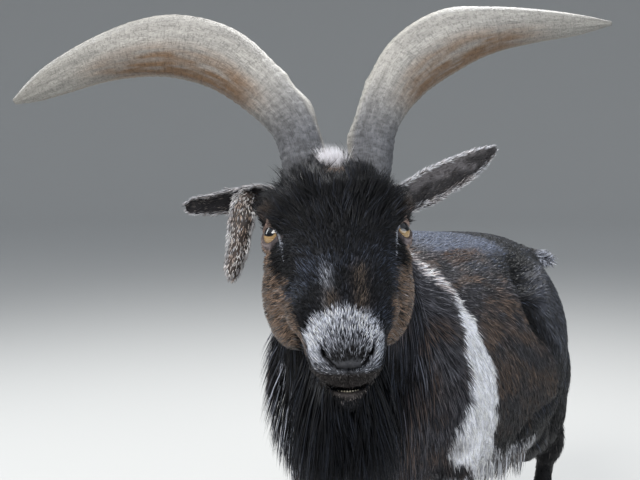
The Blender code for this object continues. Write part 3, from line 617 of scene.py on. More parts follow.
def along_path(flat, path):
    """Distance of each point from a path in a plane, and where along it the nearest place is."""
    best = np.full(len(flat), 9.0)
    where = np.zeros(len(flat))
    for k, (a, b) in enumerate(zip(path, path[1:])):
        run = b - a
        t = np.clip(((flat - a) @ run) / (run @ run), 0, 1)
        distance = np.linalg.norm(flat - a - t[:, None] * run, axis=1)
        closer = distance < best
        best = np.where(closer, distance, best)
        where = np.where(closer, k + t, where)
    return best, where


# The nostril and the line of the mouth as the skin shows them: sideways, forward, up, half width
NOSTRIL_EDGE = (
    (0.0200, 0.088, -0.0745, 0.0004),
    (0.0199, 0.094, -0.0785, 0.0013),
    (0.0180, 0.099, -0.0838, 0.0020),
    (0.0138, 0.102, -0.0885, 0.0013),
    (0.0098, 0.102, -0.0912, 0.0006),
)
LIP_LINE = (
    (0.0000, 0.094, -0.1128, 0.0016),
    (0.0100, 0.092, -0.1118, 0.0015),
    (0.0195, 0.084, -0.1080, 0.0010),
    (0.0285, 0.070, -0.1000, 0.0007),
    (0.0360, 0.050, -0.0900, 0.0004),
)


def nostril_distance(q, side):
    rows = smooth_rows([(side * out, *row) for out, *row in NOSTRIL_EDGE], 4)
    flat = q[:, [0, 2]]
    best, where = along_path(flat, rows[:, [0, 2]])
    width = np.interp(where, np.arange(len(rows)), rows[:, 3])
    front = q[:, 1] > 0.070
    return np.where(front, best, 9.0), width


def mouth_distance(q):
    rows = np.array([(-out, *row) for out, *row in LIP_LINE[:0:-1]] + list(LIP_LINE))
    height = np.interp(q[:, 0], rows[:, 0], rows[:, 2])
    forward = np.interp(q[:, 0], rows[:, 0], rows[:, 1])
    half = np.interp(q[:, 0], rows[:, 0], rows[:, 3])
    inside = (np.abs(q[:, 0]) < LIP_LINE[-1][0]) & (np.abs(q[:, 1] - forward) < 0.022)
    return np.where(inside, q[:, 2] - height, 9.0), half


def shape_muzzle(points):
    """Cuts the nostrils and the line of the mouth, and raises their rims and the lips."""
    q = to_head(points)
    for side in (-1, 1):
        distance, width = nostril_distance(q, side)
        deep = 0.0105 * step(distance, width * 1.15, width * 0.35)
        rim = 0.0011 * np.exp(-(((distance - width * 1.7) / 0.0016) ** 2))
        inward = np.array([-side * 0.25, -0.85, 0.15])
        q = q + (deep - rim)[:, None] * inward
    distance, half = mouth_distance(q)
    ends = step(np.abs(q[:, 0]), 0.036, 0.030)
    middle = step(np.abs(q[:, 0]), 0.022, 0.012)
    deep = (0.0030 + 0.0050 * middle) * step(np.abs(distance), half + 0.0009, half * 0.6) * ends
    lips = 0.0010 * np.exp(-(((distance - 0.0036) / 0.0020) ** 2)) * ends
    lips += (0.0010 + 0.0022 * middle) * np.exp(-(((distance + 0.0040) / 0.0022) ** 2)) * ends
    inward = unit(columns(-q[:, 0] * 14, -1.0, 0.0))
    q = q + inward * (deep - lips)[:, None]
    front = step(q[:, 1], 0.080, 0.092)
    q[:, 1] += 0.0016 * step(pad_reach(q), 1.3, 0.3) * front
    groove = 0.0014 * np.exp(-((q[:, 0] / 0.0016) ** 2))
    groove = groove * step(q[:, 2], -0.108, -0.101) * step(q[:, 2], -0.086, -0.092)
    under = 0.0022 * np.exp(-(((q[:, 2] + 0.0940 - 14 * q[:, 0] ** 2) / 0.0014) ** 2))
    under = under * step(np.abs(q[:, 0]), 0.019, 0.012)
    q[:, 1] -= (groove + under) * front
    return from_head(q)


def coat_depth(points):
    """How far the skin lies under the outside of the coat."""
    depth = np.full(len(points), 0.0060)
    depth = np.where(points[:, 2] < 0.22, 0.0022, depth)
    depth += (0.0060 - 0.0022) * (step(points[:, 2], 0.20, 0.25) - (points[:, 2] >= 0.22))
    head = head_share(points)
    return depth * (1 - head) + 0.0016 * head


# Shallow forms of the trunk: back, height, their reach each way, and how far out
FORMS = (
    (0.240, 0.410, 0.040, 0.030, -0.0060),
    (0.340, 0.345, 0.060, 0.070, 0.0060),
    (-0.020, 0.330, 0.018, 0.080, -0.0030),
    (-0.070, 0.330, 0.030, 0.070, 0.0030),
    (0.000, 0.470, 0.030, 0.014, -0.0030),
)

# Lines on the flank, as how far back and how high: the hollow before the hip, the hip's front edge and the
# fold of the flank below it
HOLLOW = (
    (0.225, 0.466),
    (0.170, 0.450),
    (0.140, 0.430),
    (0.135, 0.407),
    (0.142, 0.388),
    (0.162, 0.364),
    (0.190, 0.340),
)
HIP_EDGE = (
    (0.297, 0.452),
    (0.230, 0.445),
    (0.188, 0.431),
    (0.168, 0.410),
    (0.160, 0.389),
    (0.169, 0.370),
    (0.195, 0.343),
    (0.220, 0.315),
)
FOLD = ((0.240, 0.290), (0.223, 0.278), (0.172, 0.274), (0.132, 0.269), (0.124, 0.254), (0.128, 0.236))


def on_flank(p, path):
    """Distance of each point of the trunk from a line on the flank, and where along it the point is."""
    return along_path(p[:, 1:], np.array(path))


def hip_edge(p):
    gap, where = on_flank(p, HIP_EDGE)
    return np.exp(-((gap / 0.0095) ** 2)) * step(where, 0.2, 1.5) * step(where, 6.8, 5.0)


def flank_hollow(p, top=1.6):
    gap, where = on_flank(p, HOLLOW)
    return np.exp(-((gap / 0.0185) ** 2)) * step(where, top - 1.5, top) * step(where, 5.9, 3.8)


def trunk_relief(points):
    fold, where = on_flank(points, FOLD)
    depth = 0.0085 * hip_edge(points) - 0.0165 * flank_hollow(points)
    depth -= 0.0060 * np.exp(-((fold / 0.0085) ** 2)) * step(where, 0.1, 0.9)
    for back, height, long, tall, out in FORMS:
        depth += out * np.exp(-(((points[:, 1] - back) / long) ** 2) - ((points[:, 2] - height) / tall) ** 2)
    return depth * step(np.abs(points[:, 0]), 0.03, 0.07)


def make_skin():
    skin = flesh()
    mesh = skin.data
    points = points_of(mesh)
    out = trunk_relief(points) - coat_depth(points)
    set_points(mesh, points + normals_of(mesh) * out[:, None])
    refine(mesh, is_head, 2)

    def fine(points):
        q = to_head(points)
        eyes = np.minimum(*(np.linalg.norm(in_eye(points, side), axis=1) for side in (-1, 1)))
        return (eyes < 0.024) | (is_head(points) & (q[:, 1] > 0.050) & (q[:, 2] < -0.055))

    refine(mesh, fine, 1)
    points = points_of(mesh)
    points = shape_muzzle(shape_lids(points))
    points[:, 2] = np.maximum(points[:, 2], FOOT_HEIGHT)
    set_points(mesh, points)
    shade_smooth(mesh)
    base, fleck, share = markings(points)
    set_tint(mesh, mix(base, fleck, share * 0.55))
    return skin


# Markings: the colour of the coat at each place, the colour of its flecks and how many there are

BLACK = np.array((0.0060, 0.0063, 0.0078))
BLUE_GREY = np.array((0.056, 0.068, 0.100))
SOFT_GREY = np.array((0.024, 0.027, 0.037))
# A painted bluish sheen on the black hair of the back
SHEEN = np.array((0.150, 0.175, 0.245))
DARK_GREY = np.array((0.030, 0.027, 0.027))
GRIZZLE = np.array((0.120, 0.108, 0.104))
RUSSET = np.array((0.085, 0.047, 0.031))
TAN = np.array((0.285, 0.195, 0.140))
WHITE = np.array((0.860, 0.870, 0.930))
FROST = np.array((0.600, 0.630, 0.720))
SKIN_GREY = np.array((0.008, 0.0075, 0.008))
DARK_HORN = np.array((0.040, 0.034, 0.030))
LIP_BROWN = np.array((0.020, 0.017, 0.017))
LID_PINK = np.array((0.420, 0.300, 0.260))
LID_GREY = np.array((0.240, 0.205, 0.215))
# Where the black of the haunch begins: height, and how far back
HAUNCH = (
    (0.250, 0.120),
    (0.272, 0.150),
    (0.290, 0.200),
    (0.321, 0.196),
    (0.346, 0.170),
    (0.382, 0.132),
    (0.456, 0.097),
    (0.480, 0.085),
)
# The white band behind the shoulder, bottom to top: height, front edge, back edge
BAND = (
    (0.185, 0.020, 0.130),
    (0.216, 0.014, 0.108),
    (0.245, -0.014, 0.076),
    (0.260, -0.034, 0.058),
    (0.300, -0.064, 0.040),
    (0.340, -0.054, 0.032),
    (0.387, -0.036, 0.004),
    (0.412, -0.036, -0.007),
    (0.431, -0.040, -0.022),
    (0.441, -0.047, -0.032),
    (0.450, -0.056, -0.044),
    (0.459, -0.060, -0.049),
    (0.468, -0.058, -0.048),
    (0.480, -0.049, -0.041),
    (0.490, -0.044, -0.043),
)


def laid(marks, where, base, fleck, share):
    """The markings with others laid over them, where they are."""
    old_base, old_fleck, old_share = marks
    return mix(old_base, base, where), mix(old_fleck, fleck, where), old_share * (1 - where) + share * where


def body_markings(p):
    n = len(p)
    side, y, z = np.abs(p[:, 0]), p[:, 1], p[:, 2]
    patch = noise(p * (1, 0.8, 1.6), 0.030, 3)
    small = noise(p * (1, 0.6, 1.4), 0.011, 4)
    ragged = (noise(p, 0.012, 5) - 0.5) * 0.012 + (noise(p, 0.004, 6) - 0.5) * 0.006
    ragged *= 1 - 0.75 * step(z, 0.43, 0.46) * step(y, 0.0, -0.04)
    base = np.tile((0.018, 0.0175, 0.020), (n, 1))
    warm = step(patch * 0.40 + small * 0.60, 0.34, 0.70)
    bright = 0.52 + 0.90 * step(z, 0.26, 0.42)
    fleck = mix(np.tile((0.078, 0.077, 0.090), (n, 1)), (0.135, 0.094, 0.073), warm) * bright[:, None]
    share = 0.34 + 0.26 * warm
    # Along the back: black hair with a painted bluish sheen that grows lighter towards the top, and a brown
    # patch
    back = step(z + 0.08 * np.maximum(y, 0) + ragged * 2, 0.462, 0.476) * step(y, -0.03, 0.02)
    patch_brown = step(np.hypot((y - 0.048) / 0.050, (z - 0.4735) / 0.008) + (patch - 0.5), 1.1, 0.6)
    top = step(z + 0.08 * np.maximum(y, 0), 0.470, 0.488)
    sheen_base = mix(BLACK * 2.0, SHEEN * 0.42, top)
    sheen_and_brown_flecks = mix(mix(BLUE_GREY * 1.2, SHEEN, top), RUSSET, patch_brown)
    base, fleck, share = laid((base, fleck, share), back, sheen_base, sheen_and_brown_flecks, 0.60 + 0.06 * patch_brown)
    haunch = np.interp(z, *np.array(HAUNCH).T)
    rump = step(y + ragged * 2, haunch - 0.006, haunch + 0.010)
    # The painted sheen of the back is kept over the front of the rump
    rump *= 1 - step(z + ragged, 0.458, 0.466) * step(y + ragged * 3, 0.235, 0.160)
    base, fleck, share = laid((base, fleck, share), rump, BLACK, BLUE_GREY, 0.12)
    # Painted highlight: a pale bluish line along the hip's front edge, and lighter hair on the haunch behind
    # it, the top of the rump and the thigh
    ridge = hip_edge(p)
    behind = y - np.interp(z, *np.array(HIP_EDGE)[:0:-1, ::-1].T)
    far = step(behind, 0.000, 0.015) * step(z, 0.27, 0.34) * step(z, 0.445, 0.428)
    high = step(z, 0.438, 0.458) * step(y, 0.24, 0.28)
    thigh = step(behind, 0.0, 0.02) * step(z, 0.30, 0.26) * step(z, 0.20, 0.23) * 0.35
    lit = np.maximum(ridge, np.maximum(np.maximum(0.62 * far, thigh), 0.25 * high)) * rump
    base = mix(base, (0.026, 0.028, 0.036), lit)
    fleck = mix(fleck, (0.120, 0.128, 0.156), lit)
    # Painted shade: the hollow before the hip made darker and nearly bare of flecks
    hollow_shade = flank_hollow(p, 0.3) * rump
    base = mix(base, BLACK * 0.7, hollow_shade)
    share = np.maximum(share, 0.62 * lit) * (1 - 0.85 * hollow_shade)
    under = step(z + ragged, 0.270, 0.252) * step(y, 0.045, 0.075)
    base = mix(base, BLACK, under)
    share = share * (1 - under) + 0.05 * under
    shoulder = step(y + ragged, -0.020, -0.045)
    warmer = mix((0.128, 0.128, 0.148), (0.125, 0.085, 0.066), step(patch, 0.5, 0.75) * 0.8)
    base, fleck, share = laid((base, fleck, share), shoulder, (0.027, 0.027, 0.033), warmer, 0.50)
    belly = step(z + ragged * 2, 0.240, 0.228) * step(y, -0.06, 0.00) * step(y + ragged * 2, 0.192, 0.170)
    base, fleck, share = laid((base, fleck, share), belly, WHITE * 0.75, GRIZZLE, 0.35)
    heights = [row[0] for row in BAND]
    front = np.interp(z, heights, [row[1] for row in BAND]) + ragged
    behind = np.interp(z, heights, [row[2] for row in BAND]) + ragged
    soft = 0.0035 - 0.0022 * step(z, 0.43, 0.46)
    band = step(y, front - soft, front + soft) * step(y, behind + soft, behind - soft)
    band *= step(z, 0.493, 0.486) * step(side, 0.02, 0.04)
    base = mix(base, mix(WHITE * 1.08, (0.80, 0.66, 0.61), 0.7 * step(z, 0.425, 0.445)), band)
    fleck = mix(fleck, WHITE * 1.05, band)
    mane = step(y + 0.30 * (side - 0.05) + ragged, -0.085, -0.115) * step(z, 0.16, 0.20)
    mane *= step(side + 0.25 * np.maximum(0.40 - z, 0), 0.088, 0.070)
    base, fleck, share = laid((base, fleck, share), mane, BLACK * 0.85, BLUE_GREY, 0.16)
    streak = np.exp(-(((p[:, 0] + 0.050) / 0.010) ** 2)) * mane * step(z, 0.26, 0.33)
    share = np.maximum(share, 0.34 * streak)
    fleck = mix(fleck, FROST, streak)
    tuft = np.linalg.norm((p - (-0.066, -0.130, 0.388)) * (1, 0.6, 1), axis=1)
    base = mix(base, WHITE * (0.9, 0.8, 0.82), step(tuft, 0.0085, 0.0055))
    legs = step(z + ragged, 0.225, 0.195)
    legs *= np.maximum(step(y, 0.085, 0.060), step(y, 0.27, 0.30))
    base, fleck, share = laid((base, fleck, share), legs, BLACK, GRIZZLE, 0.06)
    tail = step(y, 0.470, 0.482)
    tip = step(p[:, 0], 0.046, 0.058)
    ends, tips = mix(BLACK, FROST * 0.85, tip), mix(GRIZZLE, DARK_GREY, tip)
    base, fleck, share = laid((base, fleck, share), tail, ends, tips, 0.35)
    claws = np.zeros(n)
    for out, forward, up, *_ in BODY_FORMS[-4:]:
        gap = np.linalg.norm(columns(side, y, z) - (out, forward, up), axis=1)
        claws = np.maximum(claws, step(gap, 0.0125, 0.0105))
    base = mix(base, DARK_HORN, claws)
    return base, fleck, share * (1 - claws)


# Inner edge of the brown cheek: height, and how far out
CHEEK_EDGE = (
    (-0.090, 0.0325),
    (-0.075, 0.0345),
    (-0.062, 0.0390),
    (-0.047, 0.0425),
    (-0.030, 0.0455),
    (-0.022, 0.0490),
    (-0.010, 0.0560),
    (0.000, 0.0605),
    (0.012, 0.0640),
)
# The pale line in front of the eye and down its gland: how far out, height
TEAR_LINE = ((0.0520, 0.0072), (0.0487, 0.0028), (0.0468, -0.0040), (0.0462, -0.0120), (0.0457, -0.0195))


def frost_reach(q):
    return np.hypot((q[:, 0] + 0.001) / 0.0320, (q[:, 2] + 0.0775) / 0.0290)


def pad_reach(q):
    return np.hypot(q[:, 0] / 0.0090, (q[:, 2] + 0.0912) / 0.0030)


def head_markings(q):
    n = len(q)
    side, forward, up = np.abs(q[:, 0]), q[:, 1], q[:, 2]
    ragged = (noise(q, 0.008, 7) - 0.5) * 0.008 + (noise(q, 0.003, 8) - 0.5) * 0.004
    base = np.tile(BLACK, (n, 1))
    # Bluish flecks in patches below the eyes: partly grey hairs, partly a painted sheen on the black face
    lit = step(noise(q, 0.020, 18), 0.35, 0.75)
    beside = step(side, 0.0560, 0.0585) * step(up, 0.003, -0.003)
    blue_flecks_and_sheen = lit * step(up, 0.004, -0.02)
    fleck = mix(SOFT_GREY * 0.85, BLUE_GREY * 1.2, 0.8 * blue_flecks_and_sheen)
    share = 0.16 + 0.20 * blue_flecks_and_sheen
    edge = np.interp(up, *np.array(CHEEK_EDGE).T)
    cheek = step(side + ragged, edge - 0.002, edge + 0.002)
    cheek *= step(up + ragged, 0.004, -0.003) * step(forward, -0.055, -0.035) * step(up, -0.122, -0.112)
    cheek *= step(forward, 0.088, 0.076)
    cheek = np.maximum(cheek, beside * step(up, -0.030, -0.020) * step(forward, -0.035, -0.02))
    tans = TAN * (0.55 + 0.70 * noise(q, 0.012, 16))[:, None]
    greys = mix(DARK_GREY * 0.8, GRIZZLE * 1.6, step(noise(q, 0.005, 17), 0.42, 0.62))
    base, fleck, share = laid((base, fleck, share), cheek, tans, greys, 0.46)
    brow = np.exp(-(((side - 0.0565) / 0.0055) ** 2) - ((up - 0.0205) / 0.0065) ** 2)
    brow = brow * step(forward, 0.0, 0.01)
    base = mix(base, TAN * 0.6, brow * 0.25)
    jaw = step(up, -0.088, -0.100) * step(forward, 0.060, 0.030)
    base = mix(base, BLACK * 1.2, jaw)
    bridge = step(up, -0.012, -0.026) * step(up, -0.062, -0.050) * step(forward, 0.03, 0.05)
    # A pale stripe down the right side of the bridge is a painted sheen; the brown beside the middle is the
    # coat's own
    bridge_sheen = np.exp(-(((q[:, 0] + 0.0125) / 0.0050) ** 2)) * bridge
    brown = np.exp(-(((q[:, 0] + 0.0100) / 0.0060) ** 2)) * step(up, -0.032, -0.042)
    brown = np.maximum(brown, np.exp(-(((q[:, 0] - 0.0125) / 0.0070) ** 2))) * bridge
    bridge_sheen = bridge_sheen * (1 - 0.7 * brown)
    fleck = mix(mix(fleck, FROST * 0.42, bridge_sheen), (0.105, 0.082, 0.066), brown)
    share = share + 0.42 * bridge_sheen + 0.36 * brown
    reach = frost_reach(q)
    frost = step(reach + ragged * 22, 1.06, 0.84) * step(forward, 0.050, 0.064)
    base = mix(base, BLACK * 2.5, frost)
    fleck = mix(fleck, FROST, frost)
    rim = step(reach, 0.35, 0.90)
    white = step(-q[:, 0] + 0.6 * up, -0.055, -0.020)
    share = share * (1 - frost) + (0.42 + 0.24 * rim + 0.16 * rim * white) * frost
    low = step(up, -0.086, -0.096) * frost
    share = share * (1 - 0.55 * low)
    near_pad = step(np.hypot(side / 0.021, (up + 0.084) / 0.015), 1.15, 0.70) * frost
    fleck = mix(fleck, FROST * 0.45, near_pad * 0.8)
    pad = step(np.hypot(side / 0.0178, (up + 0.0862) / 0.0094), 1.06, 0.80) * step(forward, 0.080, 0.088)
    base = mix(base, SKIN_GREY, pad)
    share = share * (1 - 0.55 * pad)
    lip = step(up, -0.0955, -0.0995) * step(up, -0.1250, -0.1160) * step(forward, 0.055, 0.070)
    base, fleck, share = laid((base, fleck, share), lip, LIP_BROWN, GRIZZLE, 0.12)
    chin = step(up, -0.1155, -0.1185) * step(forward, 0.050, 0.062)
    base = mix(base, BLACK * 1.6, chin)
    tan = np.exp(-((side / 0.014) ** 2) - ((up + 0.1180) / 0.0030) ** 2) * step(forward, 0.065, 0.080)
    fleck = mix(fleck, mix(WHITE * 0.3, TAN * 0.6, 0.5), tan)
    share = np.maximum(share, 0.50 * tan)
    # Painted shade: the insides of the nostrils near black, without flecks
    for sign in (-1, 1):
        gap, width = nostril_distance(q, sign)
        nostril_shade = step(gap, width * 1.25, width * 0.75)
        base = mix(base, (0.004, 0.0035, 0.0035), nostril_shade)
        share = share * (1 - nostril_shade)
    # Painted shade: the line of the mouth near black, without flecks
    gap, _ = mouth_distance(q)
    inside = step(np.abs(gap), 0.0022, 0.0012) * step(side, 0.034, 0.028)
    base = mix(base, (0.004, 0.003, 0.003), inside)
    share = share * (1 - inside)
    poll = step(np.hypot((q[:, 0] - 0.0015) / 0.0095, (forward + 0.035) / 0.028), 1.1, 0.8)
    poll = poll * step(up, 0.038, 0.046)
    base = mix(base, WHITE * 0.6, poll)
    fleck = mix(fleck, TAN, poll)
    front = step(forward, 0.004, 0.012)
    tear = step(np.hypot((side - 0.0510) / 0.0058, (up + 0.0150) / 0.0105), 1.1, 0.8) * front
    base = mix(base, BLACK * 0.8, tear)
    share = share * (1 - tear)
    gap, _ = along_path(columns(side, up), np.array(TEAR_LINE))
    line = step(gap, 0.0007, 0.0003) * front * step(up, -0.008, -0.004)
    for sign in (-1, 1):
        gap, radius, local = lid_distance(from_head(q), sign)
        near = radius < 0.03
        upper = local[:, 1] > LID_OPENING[3]
        gap = gap * np.maximum(radius / EYE_RADIUS, 1)
        nose_side = step(sign * local[:, 0], 0.003, 0.007)
        above = step(gap, 0.0024, 0.0010) * near * upper
        below = step(gap, 0.0068, 0.0050) * near * ~upper
        base = mix(base, mix(LID_PINK, BLACK * 2, nose_side), above * 0.9)
        base = mix(base, mix(LID_GREY, LID_GREY * 0.4, nose_side), below * 0.9)
        share = share * (1 - np.maximum(above, below) * 0.8)
        rim = step(gap, 0.0014, 0.0005) * near * np.where(upper, 0.3, 0.8)
        base = mix(base, (0.035, 0.024, 0.020), rim)
    base = mix(base, FROST, line * 0.8)
    return base, fleck, share


def markings(points):
    q = to_head(points)
    body, head = body_markings(points), head_markings(q)
    part = head_share(points)
    return mix(body[0], head[0], part), mix(body[1], head[1], part), body[2] * (1 - part) + head[2] * part


# The coat

class Coat:
    """Places on a skin, with the numbers of the tufts that grow there."""

    def __init__(self, mesh, inside, count, seed, density=None):
        draw = np.random.default_rng(seed)
        mesh.calc_loop_triangles()
        corners = np.empty(len(mesh.loop_triangles) * 3, np.int32)
        mesh.loop_triangles.foreach_get("vertices", corners)
        corners = corners.reshape(-1, 3)
        points, normals = points_of(mesh), normals_of(mesh)
        a, b, c = (points[corners[:, k]] for k in range(3))
        weight = np.linalg.norm(np.cross(b - a, c - a), axis=1)
        middle = (a + b + c) / 3
        weight = weight * inside(middle)
        if density is not None:
            weight = weight * density(middle)
        chosen = draw.choice(len(weight), count, p=weight / weight.sum())
        u, v = draw.random(count), draw.random(count)
        over = u + v > 1
        u, v = np.where(over, 1 - u, u), np.where(over, 1 - v, v)
        w = 1 - u - v
        pick = corners[chosen]
        self.draw = draw
        self.count = count

        def blended(values):
            a, b, c = (values[pick[:, k]] for k in range(3))
            return a * w[:, None] + b * u[:, None] + c * v[:, None]

        self.root = blended(points)
        self.normal = unit(blended(normals))
        self.surface = None

    def combed(self, points, low, high):
        """The points moved to a height over the skin between low and high."""
        found = [self.surface.find_nearest(point) for point in points.tolist()]
        place = np.array([tuple(hit[0]) for hit in found])
        normal = np.array([tuple(hit[1]) for hit in found])
        height = dot(points - place, normal)
        return points + normal * (np.clip(height, low, high) - height)[:, None]

    def vary(self, low, high):
        return self.draw.uniform(low, high, self.count)


def surface_of(mesh):
    """The mesh as a surface to comb hair over."""
    corners = np.empty(len(mesh.loop_triangles) * 3, np.int32)
    mesh.loop_triangles.foreach_get("vertices", corners)
    return BVHTree.FromPolygons(points_of(mesh).tolist(), corners.reshape(-1, 3).tolist())


# How thick a tuft is for its width
TUFT_THICKNESS = 0.30


def grow(
    name, coat, lie, length, width, lift, bend, colours, unwrap, segments, clump=0.0, leaders=0.0, hug=9.0
):
    """One object of closed tapered tufts, their tips no higher over the skin than hug.

    The share leaders of the tufts lead, and each tip is drawn by the share clump to its nearest leader.
    """
    n = coat.count
    flat = unit(lie - coat.normal * dot(lie, coat.normal)[:, None])
    start = unit(flat + coat.normal * np.broadcast_to(lift, n)[:, None])
    end = unit(start + bend)
    turn = end - start
    across = unit(np.cross(coat.normal, start))
    twist = coat.vary(-0.7, 0.7)[:, None]
    across = unit(across + np.cross(start, across) * twist)
    length = length[:, None]

    sunk = coat.normal * np.minimum(0.0012, length * 0.05)

    def path(t):
        return coat.root + (start * t + turn * (t * t / 2)) * length - sunk * (1 - t)

    pull = np.zeros_like(coat.root)
    if clump > 0:
        lead = coat.draw.choice(n, max(1, int(n * leaders)), replace=False)
        tree = KDTree(len(lead))
        for k, index in enumerate(lead):
            tree.insert(coat.root[index], k)
        tree.balance()
        nearest = lead[np.array([tree.find(root)[1] for root in coat.root])]
        tips = path(1.0)
        pull = (tips[nearest] - tips) * clump * np.clip(length / np.maximum(length[nearest], 1e-4), 0, 1)
    rows = []
    for k in range(segments + 1):
        t = k / segments
        middle = path(t) + pull * t * t
        if coat.surface and k > 0:
            middle = coat.combed(middle, 0.0003 + 0.0007 * t, 0.0005 + hug * t)
        if k == segments:
            rows.append(middle[:, None])
            break
        share = (1 - t**1.6) * (0.75 + 0.5 * math.sin(math.pi * min(t * 1.3, 1)))
        half = across * (width * share / 2)[:, None]
        rise = np.cross(unit(start + turn * t), across) * (width * share * TUFT_THICKNESS)[:, None]
        rows.append(np.stack([middle + half, middle - half, middle + rise], 1))
    points = np.concatenate(rows, 1)
    per = points.shape[1]
    faces = [(0, 1, 2)]
    for k in range(segments - 1):
        for i in range(3):
            j = (i + 1) % 3
            a, b, c, d = 3 * k + i, 3 * k + j, 3 * k + 3 + j, 3 * k + 3 + i
            faces += [(a, d, b), (b, d, c)]
    tip, last = per - 1, 3 * (segments - 1)
    faces += [(last + i, tip, last + (i + 1) % 3) for i in range(3)]
    faces = np.array(faces)
    triangles = (faces[None] + (np.arange(n) * per)[:, None, None]).reshape(-1, 3)
    made = mesh_object(name, points.reshape(-1, 3), triangles)
    rooted, tipped = colours
    levels = np.array([k / segments for k in range(segments) for _ in range(3)] + [1.0])
    tint = rooted[:, None] * (1 - levels[None, :, None]) + tipped[:, None] * levels[None, :, None]
    set_tint(made.data, tint.reshape(-1, 3))
    spots = np.array([(0, 0), (1, 0), (0.5, 0)] * segments + [(0.5, 1)], float)
    spots[:, 1] = levels
    place = np.clip(unwrap(coat.root), 0.004, 0.993)
    maps = (place[:, None] + (spots - (0.5, 0.5)) * 0.003).reshape(-1, 2)
    layer = made.data.uv_layers.new(name="OFBake")
    layer.data.foreach_set("uv", maps[triangles.ravel()].astype(np.float32).ravel())
    return made


def tuft_colours(coat, shaded_root=0.75, spread=0.25, light_tip=1.15):
    base, fleck, share = markings(coat.root)
    return blend_colours(coat, base, fleck, share, shaded_root, spread, light_tip)


def blend_colours(coat, base, fleck, share, shaded_root=0.75, spread=0.25, light_tip=1.15):
    flecked = coat.draw.random(coat.count) < share
    colour = np.where(flecked[:, None], fleck, base)
    colour = colour * np.exp(coat.draw.normal(0, spread, coat.count))[:, None]
    # Painted shade: each tuft darkened towards its root, pale tufts spared; its tip made lighter
    pale = step(colour.mean(1), 0.30, 0.60)[:, None]
    return colour * (shaded_root + (1.0 - shaded_root) * pale), colour * light_tip


def body_unwrap(points):
    middle = np.interp(points[:, 1], [-0.25, -0.05, 0.45], [0.48, 0.36, 0.36])
    angle = np.arctan2(points[:, 0], points[:, 2] - middle)
    return columns(points[:, 1] + 0.35, angle / (2 * math.pi) + 0.5)


def head_unwrap(points):
    q = to_head(points)
    angle = np.arctan2(q[:, 0], q[:, 2] + 0.045 + 0.6 * np.maximum(q[:, 1], 0))
    along = (q[:, 1] - 0.6 * q[:, 2] + 0.10) / 0.30
    return columns(along, angle / (2 * math.pi) + 0.5)


def leg_unwrap(points):
    fore = points[:, 1] < 0.15
    left = points[:, 0] > 0
    middle_y = np.where(fore, -0.008, np.interp(points[:, 2], [0.03, 0.15, 0.24], [0.42, 0.445, 0.36]))
    angle = np.arctan2(points[:, 1] - middle_y, np.abs(points[:, 0]) - 0.085)
    lane = np.where(fore, 0.0, 0.5) + np.where(left, 0.25, 0.0)
    return columns(points[:, 2] / 0.30, lane + (angle / (2 * math.pi) + 0.5) * 0.24)


def tail_unwrap(points):
    angle = np.arctan2(points[:, 2] - 0.425, points[:, 1] - 0.505)
    return columns((points[:, 0] + 0.03) / 0.2, angle / (2 * math.pi) + 0.5)


def clear_of_features(points):
    """1 where hair grows on the head, 0 on the nose pad, the nostrils and the edges of lips and lids."""
    q = to_head(points)
    free = np.ones(len(points))
    for side in (-1, 1):
        distance, radius, local = lid_distance(points, side)
        distance = distance * np.maximum(radius / EYE_RADIUS, 1)
        bare = np.where(local[:, 1] > LID_OPENING[3], 0.0018, 0.0030)
        free *= (distance > bare) | (radius > EYE_RADIUS + 0.008)
        gap, width = nostril_distance(q, side)
        free *= gap > width * 1.25
    distance, half = mouth_distance(q)
    free *= np.abs(distance) > half + 0.0012
    free *= np.where(q[:, 1] > 0.085, step(pad_reach(q), 0.85, 1.45), 1.0)
    lip = (distance > -0.0015) & (distance < 0.0085) & (np.abs(q[:, 0]) < 0.026)
    return free * np.where(lip, 0.5, 1.0)


def eye_gap(points):
    """How far each point is from the nearer opening between lids."""
    found = np.full(len(points), 9.0)
    for side in (-1, 1):
        distance, radius, _ = lid_distance(points, side)
        distance = np.where(radius < 0.035, distance * np.maximum(radius / EYE_RADIUS, 1), 9.0)
        found = np.minimum(found, distance)
    return found


def make_tear_lines(skin):
    """Short pale hair in a line from the inner corner of each eye down its gland."""
    path = np.array(TEAR_LINE)

    def place(points):
        q = to_head(points)
        gap, where = along_path(columns(np.abs(q[:, 0]), q[:, 2]), path)
        return q, gap, where

    def inside(points):
        q, gap, _ = place(points)
        return (gap < 0.0006) & (q[:, 1] > 0.005) & (q[:, 2] > -0.0165) & is_head(points)

    coat = SkinCoat(skin.data, inside, count=420, seed=34)
    q, _, where = place(coat.root)
    part = np.minimum(where.astype(int), len(path) - 2)
    run = path[part + 1] - path[part]
    lie = turn_from_head(columns(run[:, 0] * np.sign(q[:, 0]), 0.0, run[:, 1]) * 100)
    white = np.tile(FROST, (coat.count, 1)) * coat.vary(0.6, 1.3)[:, None]
    colours = (white * 0.8, white * 1.1)
    length, width = coat.vary(0.0014, 0.0024), coat.vary(0.0003, 0.0005)
    bend = -coat.normal * 0.1
    return grow("tear_lines", coat, lie, length, width, 0.10, bend, colours, head_unwrap, 2, hug=0.0008)


